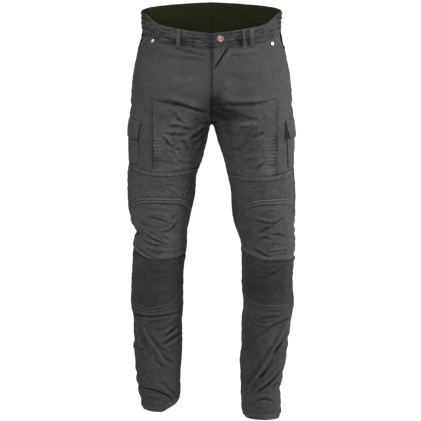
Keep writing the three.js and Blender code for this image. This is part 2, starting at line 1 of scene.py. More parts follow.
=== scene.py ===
"""Cargo jeans, filled out as if worn, dressed over their solid model.

Lengths in the tables are millimetres, in the part's own frame: +Z up, the front faces -Y, the wearer's
left is +X. On each half of the trouser surface u runs from the front centre or inseam (0) over the
front (0.25), the side seam (0.5) and the back (0.75) to the back centre or inseam (1).
"""

import math

import bpy
import numpy as np
from mathutils import Matrix, Vector


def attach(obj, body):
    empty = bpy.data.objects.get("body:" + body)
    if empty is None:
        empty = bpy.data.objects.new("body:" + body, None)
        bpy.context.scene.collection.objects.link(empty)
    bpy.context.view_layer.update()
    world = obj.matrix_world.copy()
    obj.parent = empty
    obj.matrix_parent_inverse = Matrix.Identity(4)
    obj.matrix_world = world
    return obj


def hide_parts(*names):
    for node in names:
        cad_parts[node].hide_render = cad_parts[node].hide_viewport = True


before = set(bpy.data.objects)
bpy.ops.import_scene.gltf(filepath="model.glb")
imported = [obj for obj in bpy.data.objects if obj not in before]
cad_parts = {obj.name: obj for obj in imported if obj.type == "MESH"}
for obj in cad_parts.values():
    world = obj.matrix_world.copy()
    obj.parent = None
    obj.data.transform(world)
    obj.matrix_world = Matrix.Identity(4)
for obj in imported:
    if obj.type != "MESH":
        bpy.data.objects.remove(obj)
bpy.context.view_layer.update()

MM = 0.001
QUARTER_TURN = math.pi / 2
EDGE_NAMES = ("top", "bottom", "start", "end")
SIDES = ("left", "right")

# Cloth and seams
CLOTH = 1.6
PATCH_THICKNESS = 1.3
BAND_THICKNESS = 2.6
BAND_PROUD = 0.8
# The band's inner end dips under its outer one, from this w on and over this much of w
BAND_DIP = (1.93, 0.055)
PATCH_LIFT = 0.8
SEAM_GAP = 0.3

# Handles of the section's curves: as a share of the chord where it is straight, and of a quarter circle
STRAIGHT_HANDLE = 0.34
ROUND_HANDLE = 0.5523

# How close together the points of a piece lie: plain ones, creased ones, ribbed ones and near the edges
GRID = 3.3
CREASE_GRID = 2.4
RIB_GRID = 1.5
EDGE_STEP = 1.5

# Rise
CROTCH_Z = -285
CROTCH_Y = 10
FRONT_RISE_TOP = -175
BACK_RISE_TOP = -165

# Stitching thread
STITCH = {"length": 2.7, "pitch": 3.5, "radius": 0.34}


def rows_of(text):
    """The rows of numbers in a text, which commas or new lines end. Lines with # name what follows."""
    lines = text.replace(",", "\n").splitlines()
    return [[float(word) for word in line.split()] for line in lines if line.strip() and "#" not in line]


def table(names, text):
    """A short table with named columns."""
    return dict(zip(names.split(), np.array(rows_of(text)).T))


PROFILE = table("z front back seam slope", """
30 -92 97 4 0.33
-10 -94 100 4 0.33
-50 -97 104 4 0.3
-95 -106 116 4 0.22
-125 -112 126 4 0.15
-160 -118 137 4 0.08
-200 -122 143 4 0.02
-240 -122 141 5 0
-285 -119 130 5 0
-330 -113 118 4 0
-400 -103 104 1 0
-470 -94 92 -2 0
-540 -90 80 -5 0
-600 -88 71 -7 0
-660 -84 70 -5 0
-720 -76 77 1 0
-800 -66 86 9 0
-880 -58 85 13 0
-960 -52 79 14 0
-1080 -48 75 14 0
""")
CENTRE = table("z front back", "30 -106 111, -50 -110 114, -95 -113 117, -160 -114 121, -285 -114 121")
HIP = """
30 0.2 182
-10 0.2 181
-50 0.2 178.5
-75 0.2 182
-95 0.2 188
-125 0.2 194.5
-160 0.2 201.5
-210 0.2 206.5
-260 0.2 210
-285 0.2 211
"""
OUTLINE = {
    "left": table("z inner outer", HIP + """
-303 8 212
-345 19 212
-387 33 211.5
-429 43 214
-471 51 217
-513 53 217
-555 61 215
-597 77 217
-639 79 215
-702 79 211
-765 84 214
-807 79 207
-871 79 199
-913 75 194
-955 77 186
-997 77 179
-1039 79 181
-1080 82 178
"""),
    "right": table("z inner outer", HIP + """
-303 6 213
-345 14 213
-387 25 213
-429 40 218
-471 43 217
-513 51 215
-534 56 209
-555 61 204
-576 64 197
-602 64 202
-639 69 204
-702 74 208
-765 74 209
-807 77 202
-871 77 202
-913 79 199
-955 82 196
-997 82 190
-1018 84 185
-1080 92 176
"""),
}
SEAMS = {name: table("u left right", text) for name, text in {
    "waist_top": "0 -46 -46, 0.2 -38 -38, 0.33 -26 -26, 0.39 -9 -9, 0.43 -2 -2, 0.5 0 0, 0.75 9 9, 1 13 13",
    "band_bottom": "0 -86 -86, 0.2 -79 -79, 0.33 -68 -68, 0.42 -54 -54, 0.5 -46 -46, 0.75 -34 -34, "
                   "1 -28 -28",
    "yoke": "0.5 -90 -90, 0.75 -98 -98, 1 -112 -112",
    "thigh": "0 -234 -254, 0.16 -228 -233, 0.25 -226 -225, 0.35 -216 -214, 0.5 -210 -210",
    "stretch_top": "0 -420 -402, 0.25 -421 -408, 0.5 -403 -392",
    "knee_arch": "0 -590 -552, 0.05 -556 -514, 0.09 -526 -494, 0.12 -508 -486, 0.155 -496 -479, "
                 "0.2 -485 -477, 0.25 -480 -475, 0.34 -479 -477, 0.4 -484 -489, 0.43 -493 -512, "
                 "0.5 -524 -545",
    "knee_seam": "0 -618 -622, 0.15 -631 -636, 0.25 -640 -638, 0.4 -642 -625, 0.5 -640 -612",
    "back_knee": "0.5 -640 -612, 0.75 -634 -622, 1 -618 -622",
    "knee_bottom": "0 -735 -704, 0.055 -746 -722, 0.1 -755 -746, 0.19 -767 -768, 0.3 -771 -776, "
                   "0.4 -769 -769, 0.5 -757 -756",
    "hem": "0 -1045 -1012, 0.1 -1062 -1027, 0.16 -1064 -1034, 0.25 -1065 -1044, 0.42 -1066 -1042, "
           "0.5 -1058 -1037, 0.75 -1048 -1030, 1 -1045 -1012",
}.items()}
# The thigh's front seam: its u at the top and at the bottom
THIGH_SEAM_U = {"left": (0.35, 0.332), "right": (0.325, 0.302)}

# Folds by face: depth and width, then points along the crease (x and z on the front and back, y and z at
# the side). A trough has a negative depth.
FOLDS = {
    "front": """
# Hips and thighs
-3.4 5 -134 -216 -101 -224 -78 -231 -32 -247 -4 -253
2 9.6 -150 -204 -96 -211 -48 -228 -12 -242
-2.3 6.4 24 -227 74 -231 138 -224
2.2 8.8 20 -212 72 -217 150 -212
2.2 4.8 -121 -232 -92 -245 -72 -264
-3.4 4.4 -98 -255 -78 -274 -60 -288
-3.5 4.2 -124 -279 -101 -286 -84 -283 -62 -293 -34 -297
2.2 4.4 -116 -274 -96 -276 -72 -284 -44 -286
2.2 4.2 -126 -296 -95 -299 -58 -302
-2.8 4 -134 -304 -101 -307 -56 -313
-3.2 4.2 -132 -308 -119 -320 -109 -335 -95 -349
2 4.2 -120 -310 -108 -324 -96 -338
-3.1 4.6 -80 -318 -64 -337 -53 -362
2 4.8 -92 -330 -76 -346 -68 -368
-3.4 5 -60 -325 -32 -307 -10 -290
-3 5 -48 -344 -29 -325 -12 -303
2.2 4.6 -54 -312 -34 -298 -14 -282
-2.2 5 -36 -366 -28 -346 -22 -326
1.8 5.6 -120 -352 -98 -366 -66 -374
-2 4.8 -136 -374 -108 -384 -76 -392
1.8 4.5 -112 -340 -92 -352 -80 -372
-1.8 4.8 -96 -376 -66 -386 -40 -380
-1.8 4.5 -128 -262 -108 -262 -88 -252
-2.2 5.4 12 -236 34 -248 64 -250
-2.9 5.2 66 -257 94 -265 124 -269
2.8 5.6 66 -284 90 -280 112 -274
-1.4 8 20 -246 40 -286 55 -332
-3 4 100 -318 118 -309 140 -300
1.8 4.2 104 -326 122 -318 142 -308
-1.8 5.4 48 -360 78 -340 104 -322
1.6 6.4 60 -384 98 -366 130 -356
-2.6 3.8 112 -404 124 -391 140 -380
1.8 3.8 104 -398 116 -386 130 -376
-1.6 4.5 128 -268 116 -282 108 -298
-2.4 4.8 -36 -96 -70 -92 -120 -78
-1.6 6.4 -30 -112 -80 -112 -136 -96
1.3 9.6 -24 -150 -70 -166 -110 -170
-1.8 5.6 36 -100 80 -104 130 -96
-1.2 9.6 30 -150 84 -160 140 -150
-6.5 3.1 46 -80 27 -106 2 -148
2.6 4.2 52 -86 38 -110 16 -146
-3 3.6 -66 -93 -34 -99 -6 -106
-2.2 4 -78 -106 -40 -112 -8 -119
-1.8 5 -150 -62 -128 -70 -104 -84
# Knees
-3.4 3.4 -170 -524 -137 -531 -104 -542
2 4 -172 -512 -136 -515 -104 -526
2.8 2.9 -150 -562 -118 -556 -98 -545 -91 -530
-2.6 3 -140 -567 -112 -563 -96 -553
-3 3.3 -90 -534 -94 -547 -103 -557
-2.4 3.2 -106 -534 -96 -526 -84 -518
3.2 2.9 -186 -557 -151 -577 -122 -589 -92 -603
-3.9 3 -174 -571 -150 -583 -124 -593
2.2 2.8 -150 -563 -122 -582 -95 -597
-2.6 2.8 -140 -568 -122 -578 -104 -588
-3.3 3.3 -188 -582 -160 -597 -124 -600
3 3.2 -180 -604 -140 -608 -98 -613
-2.4 3 -168 -614 -140 -619 -114 -619
-3.4 3 -206 -603 -180 -618 -156 -630 -126 -638
2.4 2.8 -198 -616 -180 -626 -158 -636
-2.2 3.2 -196 -536 -176 -548 -150 -552
1.6 4 -160 -500 -132 -498 -104 -504
-3.8 3.1 92 -530 127 -538 153 -543 172 -538 196 -523
2.4 3.2 98 -521 130 -529 156 -534 186 -518
-3.4 3.1 118 -570 144 -554 170 -540
2.2 3 108 -571 134 -569 152 -560
-3.4 3.1 116 -588 136 -579 162 -588
-3.8 3.1 146 -574 173 -571 199 -584
-2.8 3 148 -603 167 -596 184 -600
1.8 3 116 -578 138 -571 160 -578
3 3 136 -618 160 -610 206 -609
-4.3 3.2 94 -608 121 -617 141 -627 164 -631
2.2 3 104 -603 126 -609 148 -619
1.8 3 148 -623 176 -618 204 -620
1.4 4 120 -508 150 -504 184 -508
2.6 3 110 -659 138 -668 164 -665 182 -654
-2.6 4 96 -691 127 -685 158 -675 178 -662 196 -651
-1.8 5.6 -178 -662 -140 -672 -100 -664
1.5 7 -160 -706 -130 -716 -98 -708
1.5 7 96 -726 140 -738 186 -728
# Shins
-3.6 3.2 -240 -786 -150 -790 -40 -774
3.2 3.4 -173 -813 -160 -799 -131 -792 -98 -790
2.8 3 -116 -806 -101 -795 -88 -785
5.2 4.2 -180 -804 -174 -828 -160 -856 -136 -892 -122 -912
-3.6 4.2 -160 -834 -139 -866 -110 -890
-3.4 6 -182 -842 -171 -872 -152 -900
-3.8 3.6 -130 -846 -108 -832 -82 -816
-4 4 -134 -867 -108 -853 -74 -834
2.8 3.2 -130 -855 -106 -840 -78 -821
2.2 4 -128 -874 -104 -860 -82 -845
-2.8 5 -160 -816 -131 -825 -92 -806
-4 4 -150 -898 -138 -912 -120 -932
2.4 4 -134 -896 -120 -912 -104 -924
-2.6 4 -124 -896 -110 -908 -94 -918
3.2 2.8 -197 -804 -192 -846 -183 -880
-2.6 3 -198 -876 -186 -881 -174 -878
-2.6 5 -142 -960 -120 -972 -98 -984
-5.2 3.2 -208 -984 -160 -984 -128 -994 -112 -1004 -98 -1026
-3.8 4 -122 -976 -104 -990 -88 -1008
2.8 2.6 -114 -990 -103 -1003 -93 -1018
2.4 4.2 -176 -998 -150 -1000 -130 -1010
3.6 3 98 -793 114 -807 141 -811 166 -804
2.2 3 106 -787 124 -792 140 -784
-3 4 120 -793 150 -791 184 -788
-4 3.6 146 -820 176 -807 210 -797
-2.6 6 110 -852 134 -830 164 -812
6.2 4.4 216 -786 196 -816 167 -868 138 -918 100 -978 92 -1000
-4.2 4 202 -824 181 -858 154 -898
-3.4 5 164 -908 144 -932 120 -958
3 4 188 -864 166 -888 146 -910
3.2 4 190 -918 150 -958 108 -990
-4.1 3.2 172 -951 140 -976 108 -998
2.6 4 192 -934 166 -962 146 -978
-2.6 3.2 154 -979 168 -972 184 -970
-3.8 3.6 108 -1019 136 -1010 168 -1021
2.2 3.5 119 -1004 139 -1000 164 -1007
-2 3 114 -1030 134 -1034 154 -1032
""",
    "back": """
-5 9 24 -296 84 -278 160 -290
2.8 8 28 -312 90 -300 150 -312
-5 9 -24 -298 -84 -280 -160 -288
2.8 8 -30 -314 -84 -302 -154 -314
-3 8 40 -340 90 -352 150 -344
-3.2 8 -40 -346 -96 -354 -146 -338
-6.4 8 70 -552 130 -566 190 -548
-5 7 76 -588 128 -580 186 -592
-6 8 72 -622 132 -608 192 -620
-4.4 7 84 -640 140 -654 190 -642
-6.4 8 -66 -558 -128 -570 -186 -550
-5 7 -72 -594 -122 -584 -180 -596
-6 8 -70 -624 -134 -610 -192 -624
-4.4 7 -80 -646 -134 -658 -186 -644
-4 9 90 -810 140 -836 194 -846
3 9 96 -880 146 -862 190 -872
-4 9 -92 -816 -140 -840 -188 -842
3 9 -96 -886 -148 -868 -186 -880
-5 7 96 -962 136 -980 174 -970
-5 7 -96 -966 -140 -982 -180 -968
-3.6 7 100 -1004 140 -996 172 -1010
-3.6 7 -100 -1000 -142 -992 -176 -1006
-1.6 9 40 -120 96 -128 150 -116
-1.6 9 -44 -122 -100 -126 -152 -118
""",
    "side left": """
-2.4 8 -44 -548 4 -560 52 -552
-2.2 8 -50 -590 0 -578 46 -588
-2.2 8 -40 -624 8 -632 54 -620
-2.2 9 -30 -836 14 -858 60 -868
-2 9 -26 -930 14 -946 50 -938
-1.8 10 -50 -236 0 -244 60 -232
-2 8 -20 -984 14 -992 48 -984
""",
    "side right": """
-4.6 10 -60 -577 -5 -574 50 -580
-2.4 8 -46 -552 2 -560 50 -548
-2.2 8 -48 -586 4 -594 46 -582
-2.2 8 -42 -626 6 -616 50 -628
-2.2 9 -30 -840 14 -862 58 -864
-2 9 -22 -936 16 -950 52 -944
-1.8 10 -50 -236 2 -246 62 -238
-2 8 -20 -990 14 -982 48 -992
""",
}
FOLD_FADE_U = 0.07
CENTRE_FADE_U = 0.015
# How far a fold reaches, in its widths, and the share of its length over which it fades in and out
FOLD_REACH = 3.2
FOLD_TAPER = 0.3

# Where the cloth is more crumpled: x and z of the middle, half sizes and strength, front and back alike
CRUMPLE = rows_of("""
-88 -325 80 80 0.75
88 -325 80 80 0.5
-138 -575 70 60 0.35
142 -575 70 60 0.35
-140 -880 60 110 0.25
142 -880 60 110 0.25
-186 -110 26 40 0.4
186 -110 26 40 0.4
""")
CALM_CRUMPLE = 0.32
SIDE_CALM = 0.7

# Spots of painted shade (the crotch, the fly's edge, the feet of the belt loops, under the seams) and of
# painted highlight (raised cloth beside the seams and round the knees), with some darker and lighter places
# of the wash,
# on the front: x and z of the middle, half sizes and strength
SHADE_AND_WASH_SPOTS = rows_of("""
# Crotch and inner thighs
36 -262 34 44 -0.26
46 -261 34 13 -0.36
70 -300 60 60 -0.08
52 -252 40 14 -0.3
34 -300 22 60 -0.14
16 -228 17 25 -0.45
2 -250 22 20 -0.3
-52 -216 44 26 -0.14
92 -281 26 9 0.3
52 -197 14 14 0.2
-40 -330 26 60 -0.12
84 -340 70 70 -0.16
-90 -330 60 70 0.06
# Fly and hips
1 -150 2.6 80 -0.8
3 -102 5 20 -0.45
10 -222 16 22 -0.3
16 -104 9 14 0.12
40 -133 7 8 0.18
41 -174 8 6 0.32
38 -200 9 5 0.25
77 -70 7 12 -0.66
99 -68 8 12 -0.5
-73 -70 8 11 -0.66
-93 -72 6 9 -0.6
66 -66 10 8 -0.3
-150 -92 30 26 -0.1
-64 -94 60 16 -0.1
# Thigh seams and the panels below them
-122 -219 18 4.5 -0.2
-84 -228 24 5 -0.34
-48 -240 18 5 -0.24
56 -232 36 7 -0.14
108 -228 32 6 -0.1
-157 -296 4 48 -0.3
-152 -350 4 30 -0.36
-138 -374 14 4.5 -0.38
172 -268 4 48 -0.2
168 -350 4 40 -0.3
158 -389 9 4 -0.34
148 -403 18 10 0.4
-136 -402 22 6 0.42
146 -362 17 48 0.26
-138 -322 14 50 0.28
60 -520 14 90 -0.14
206 -560 12 130 0.2
# Knees
-170 -632 24 5 0.14
124 -634 30 5 0.12
198 -585 18 60 -0.16
94 -560 16 46 -0.2
-92 -606 14 20 -0.12
-192 -650 14 12 0.34
-198 -710 9 56 0.24
-84 -700 7 60 0.2
84 -690 8 60 0.26
132 -654 26 8 0.2
196 -720 8 40 0.12
-135 -560 60 50 0.08
140 -560 60 60 -0.15
-130 -450 90 26 0.15
142 -700 60 50 -0.15
-205 -520 14 170 0.22
192 -700 18 60 -0.08
-80 -66 70 16 0.08
70 -66 110 18 -0.08
# Shins
140 -890 60 120 -0.06
104 -850 24 44 -0.3
146 -940 50 70 -0.08
88 -926 14 26 0.1
-140 -960 50 20 0.08
-135 -820 34 18 -0.12
-168 -880 14 26 -0.12
144 -1010 34 14 0.1
162 -836 22 24 0.16
138 -882 18 34 0.14
150 -800 60 12 -0.14
-150 -905 26 34 0.07
""")

# How much lighter each millimetre of height makes the cloth, and between which heights: painted shade in the
# hollows, and on raised cloth part wear, part painted highlight
WEAR_AND_SHADE = {"per_mm": 0.11, "low": -4.2, "high": 2.6}
# Limits of the spots' painted shade, painted highlight and wash, of the edges' painted shade and highlight,
# and of both together
SPOT_LIMITS = (0.3, 1.6)
EDGE_LIMITS = (0.35, 1.5)
LEAST_SHADE = 0.2

# Colours of the cloth, as seen under plain white light, and how mottled each cloth is
COLOURS = {
    "hip": (0.0287, 0.0287, 0.0302),
    "thigh": (0.029, 0.029, 0.0303),
    "knee": (0.0302, 0.0302, 0.0315),
    "smooth": (0.0164, 0.0164, 0.0166),
    "shin": (0.0229, 0.0229, 0.0235),
    "band": (0.0204, 0.0204, 0.0207),
    # The inside is painted darker than the cloth, as painted shade of the inside of the trousers
    "inside": (0.0091, 0.0107, 0.0042),
    "thread": (0.040, 0.040, 0.041),
    "copper_metal": (0.2, 0.125, 0.115),
    "silver_metal": (0.86, 0.86, 0.87),
}
MOTTLED = {"hip": 0.55, "band": 0.9, "thigh": 0.9, "knee": 0.8, "shin": 1.0, "smooth": 0.9}


def clamp(value):
    return np.clip(value, 0.0, 1.0)


def mix(a, b, t):
    return a + (b - a) * t


def ease(t):
    t = clamp(t)
    return t * t * (3 - 2 * t)


def constant(value):
    """A function of a place: value itself, or the same number everywhere."""
    return value if callable(value) else lambda t: value + 0 * t


def column(tab, key, name, at):
    """A smooth value of one column of a table, without overshoot, at key = at."""
    keys, values = tab[key], tab[name]
    if keys[-1] < keys[0]:
        keys, values = keys[::-1], values[::-1]
    secant = np.diff(values) / np.diff(keys)
    slope = np.empty(len(keys))
    slope[0], slope[-1] = secant[0], secant[-1]
    before, after = secant[:-1], secant[1:]
    same_way = before * after > 0
    slope[1:-1] = np.where(same_way, 2 * before * after / np.where(same_way, before + after, 1), 0)
    at = np.asarray(at, float)
    i = np.clip(np.searchsorted(keys, at, side="right") - 1, 0, len(keys) - 2)
    span = keys[i + 1] - keys[i]
    t = clamp((at - keys[i]) / span)
    s = 1 - t
    return (values[i] * (1 + 2 * t) * s * s + slope[i] * span * t * s * s
            + values[i + 1] * t * t * (3 - 2 * t) - slope[i + 1] * span * t * t * s)


def thigh_seam(side):
    top, foot = THIGH_SEAM_U[side]
    return lambda t: mix(top, foot, ease(t))


def seam_at(seam, side):
    return lambda u: column(SEAMS[seam], "u", side, u)


def noise(points, size, seed):
    """Smooth value noise between -1 and 1 at points, with lumps about one size across."""
    cell = np.asarray(points) / np.asarray(size, float)
    low = np.floor(cell).astype(np.int64)
    t = ease(cell - low)
    total = 0.0
    for corner in range(8):
        bits = np.array([corner & 1, corner >> 1 & 1, corner >> 2 & 1])
        at = (low + bits).astype(np.uint64)
        key = (at[:, 0] * np.uint64(73856093)) ^ (at[:, 1] * np.uint64(19349663))
        key = key ^ (at[:, 2] * np.uint64(83492791)) ^ np.uint64(seed * 2654435761)
        key = (key ^ (key >> np.uint64(15))) * np.uint64(2246822519)
        key = (key ^ (key >> np.uint64(13))) & np.uint64(0xFFFFFF)
        weight = np.prod(np.where(bits, t, 1 - t), axis=1)
        total = total + weight * (key.astype(float) / 0x7FFFFF - 1)
    return total


def unit(vectors):
    return vectors / np.maximum(np.linalg.norm(vectors, axis=-1, keepdims=True), 1e-12)


def steps_of(points, axis=0):
    """Lengths of the steps from point to point along an axis."""
    return np.linalg.norm(np.diff(points, axis=axis), axis=-1)


def rise(z, top, centre_y):
    """The centre seam at height z: its y, and how far the section has turned to meet it."""
    under = np.sqrt(np.maximum(0, 1 - clamp((top - z) / (top - CROTCH_Z)) ** 2))
    below = z <= CROTCH_Z
    inseam = column(PROFILE, "z", "seam", z) + (CROTCH_Y - 5)
    y = np.where(z >= top, centre_y, CROTCH_Y + (centre_y - CROTCH_Y) * under)
    return np.where(below, inseam, y), np.where(below, 0, under)


def plain(side, u, z):
    """Points of the plain trouser surface, before folds."""
    u, z = np.broadcast_arrays(np.asarray(u, float), np.asarray(z, float))
    inner, outer = (column(OUTLINE[side], "z", name, z) for name in ("inner", "outer"))
    middle = (inner + outer) / 2
    front, back, seam, slope = (column(PROFILE, "z", name, z) for name in "front back seam slope".split())
    front_y, front_turn = rise(z, FRONT_RISE_TOP, column(CENTRE, "z", "front", z))
    back_y, back_turn = rise(z, BACK_RISE_TOP, column(CENTRE, "z", "back", z))
    one = np.ones_like(z)
    points = np.array([[inner, front_y], [middle, front], [outer, seam], [middle, back], [inner, back_y]])
    ways = np.array([
        [np.sin(front_turn * QUARTER_TURN), -np.cos(front_turn * QUARTER_TURN)],
        [one, slope],
        [0 * one, one],
        [-one, slope],
        [-np.sin(back_turn * QUARTER_TURN), -np.cos(back_turn * QUARTER_TURN)],
    ])
    ways = ways / np.linalg.norm(ways, axis=1, keepdims=True)
    q = np.clip(np.floor(u * 4).astype(int), 0, 3)
    pick = np.arange(z.size).reshape(z.shape)
    (p0, p3), (w0, w3) = ([np.moveaxis(flat[q + k, :, pick], -1, 0) for k in (0, 1)]
                          for flat in (points.reshape(5, 2, -1), ways.reshape(5, 2, -1)))
    chord = p3 - p0
    length = np.sqrt((chord ** 2).sum(0))
    turn = clamp(np.arccos(np.clip((w0 * w3).sum(0), -1, 1)) / QUARTER_TURN)
    h0, h3 = (mix(STRAIGHT_HANDLE * length, ROUND_HANDLE * np.abs((chord * way).sum(0)), turn)
              for way in (w0, w3))
    p1, p2 = p0 + w0 * h0, p3 - w3 * h3
    t = u * 4 - q
    s = 1 - t
    xy = p0 * s ** 3 + 3 * p1 * s * s * t + 3 * p2 * s * t * t + p3 * t ** 3
    return np.stack([xy[0] if side == "left" else -xy[0], xy[1], z], axis=-1)


def surface_frame(side, u, z):
    """Plain points, the outward direction there, and how many millimetres a unit of u is."""
    u, z = np.broadcast_arrays(np.asarray(u, float), np.asarray(z, float))
    du = np.where(u < 0.5, 0.002, -0.002)
    dz = np.where(z > CROTCH_Z, 0.25, -0.25)
    here = plain(side, u, z)
    along = (plain(side, u + du, z) - here) / du[..., None]
    up = (plain(side, u, z + dz) - here) / dz[..., None]
    normal = unit(np.cross(along, up)) * (1 if side == "left" else -1)
    return here, normal, np.linalg.norm(along, axis=-1)


def smooth_path(points, steps=6):
    """A Catmull-Rom curve through the points of a crease."""
    p = np.vstack([2 * points[0] - points[1], points, 2 * points[-1] - points[-2]])
    out = []
    for k in range(1, len(p) - 2):
        for t in np.arange(steps) / steps:
            a, b, c, d = p[k - 1:k + 3]
            out.append(0.5 * (2 * b + (c - a) * t + (2 * a - 5 * b + 4 * c - d) * t * t
                              + (3 * b - a - 3 * c + d) * t ** 3))
    return np.array(out + [p[-2]])


FOLD_LINES = {face: [(row[0], row[1], smooth_path(np.reshape(row[2:], (-1, 2)))) for row in rows_of(text)]
              for face, text in FOLDS.items()}


def fold_heights(depth, width, line, at):
    """How far one fold moves points at (across, up) in or out."""
    reach = FOLD_REACH * width
    near = np.all((at > line.min(0) - reach) & (at < line.max(0) + reach), axis=1)
    height = np.zeros(len(at))
    if not near.any():
        return height
    here = at[near]
    best = np.full(len(here), np.inf)
    along = np.zeros(len(here))
    for k in range(len(line) - 1):
        way = line[k + 1] - line[k]
        t = clamp(((here - line[k]) @ way) / (way @ way))
        distance = np.linalg.norm(here - line[k] - t[:, None] * way, axis=1)
        closer = distance < best
        best = np.where(closer, distance, best)
        along = np.where(closer, (k + t) / (len(line) - 1), along)
    taper = ease(along / FOLD_TAPER) * ease((1 - along) / FOLD_TAPER)
    q = best / width
    height[near] = depth * taper * (np.exp(-(q / 0.8) ** 2) - 0.4 * np.exp(-((q - 1.7) / 0.8) ** 2))
    return height


def fold_total(side, u, points):
    """All folds together at points of one half."""
    way = 1 if side == "left" else -1
    total = np.zeros(len(points))
    # Folds fade out towards both ends of the range of u that they belong to
    for name, start, end in (("front", 0, 0.5), ("back", 0.5, 1), ("side", 0.27, 0.73)):
        inside = (u >= start) & (u <= end)
        if not inside.any():
            continue
        above = ease((points[inside, 2] - CROTCH_Z - 20) / 30) if name != "side" else 0
        rim = mix(FOLD_FADE_U, CENTRE_FADE_U, above)
        at_start, at_end = (rim, FOLD_FADE_U) if name == "front" else (FOLD_FADE_U, rim)
        fade = ease((u[inside] - start) / at_start) * ease((end - u[inside]) / at_end)
        at = points[inside][:, (1 if name == "side" else 0, 2)]
        lines = FOLD_LINES[f"side {side}"] if name == "side" else [
            fold for fold in FOLD_LINES[name] if np.sign(fold[2][0, 0]) == way]
        total[inside] += fade * sum(fold_heights(*fold, at) for fold in lines)
    return total


def ridged(points, size, seed):
    """Noise with sharp valleys, as crumpled cloth has."""
    return np.abs(noise(points, size, seed)) * 2 - 0.7


def bumps_at(points, rows):
    """The soft spots of rows (x, z, half sizes and strength) at points, each as an array."""
    return [strength * np.exp(-(((points[:, 0] - x) / half_x) ** 2 + ((points[:, 2] - z) / half_z) ** 2))
            for x, z, half_x, half_z, strength in rows]


def side_share(points):
    """1 where the cloth turns round the sides of a leg, 0 over its front and back."""
    x, z = points[:, 0], points[:, 2]
    inner, outer = (np.where(x > 0, *(column(OUTLINE[side], "z", name, z) for side in SIDES))
                    for name in ("inner", "outer"))
    across = (np.abs(x) - inner) / (outer - inner)
    inseam = np.where(z < CROTCH_Z, ease((0.18 - across) / 0.15), 0)
    return np.maximum(ease((across - 0.82) / 0.15), inseam)


def cloth_waves(points):
    """Small unevenness of lying cloth, rougher on the thighs, knees and shins than on the hips."""
    rough = CALM_CRUMPLE + 0.3 * ease((-225 - points[:, 2]) / 40) + sum(bumps_at(points, CRUMPLE))
    rough *= 1 - SIDE_CALM * side_share(points)
    broad = 0.8 * noise(points, (46, 46, 34), 3) + 0.3 * noise(points, (19, 19, 13), 5)
    crumple = 1.1 * ridged(points, (29, 29, 20), 7) + 0.9 * ridged(points, (15, 15, 11), 9)
    return broad + rough * (crumple + 0.35 * noise(points, (7, 7, 6), 11))


def ridge(d, at, width):
    return np.exp(-((d - at) / width) ** 2)


class Edge:
    """A kind of seam edge. d is the distance from it.

    height and tone are rows of ridges (size, place and width) of the cloth and of its colour; the tone paints
    shade into seam lines, grooves and lapped edges, highlights onto cords, and a lighter worn band beside
    stitching. The cloth ends in a lip, or in a sink (depth and reach). A fold (height, end and softness) is a
    doubled edge. rows has the insets of its stitching, reach says how far it needs close points, and lap how
    far it runs past its line.
    """

    def __init__(self, height, tone, fold=(0, 1, 1), sink=None, rows=(), pucker=1.0, reach=3, lap=0.0):
        self.ridges, self.tones = rows_of(height), rows_of(tone)
        self.fold, self.sink, self.rows = fold, sink, rows
        self.pucker, self.reach, self.lap = pucker, reach, lap

    def height(self, d):
        high, end, soft = self.fold
        edge = -0.5 * np.maximum(0, 1 - d / 0.9) ** 2
        if self.sink:
            edge = -self.sink[0] * np.exp(-d / self.sink[1])
        return edge + high * (1 - ease((d - end) / soft)) + sum(a * ridge(d, *row) for a, *row in self.ridges)

    def tone(self, d):
        return 0 * d + sum(a * ridge(d, *row) for a, *row in self.tones)


TWO_ROWS = (1.9, 7.4)
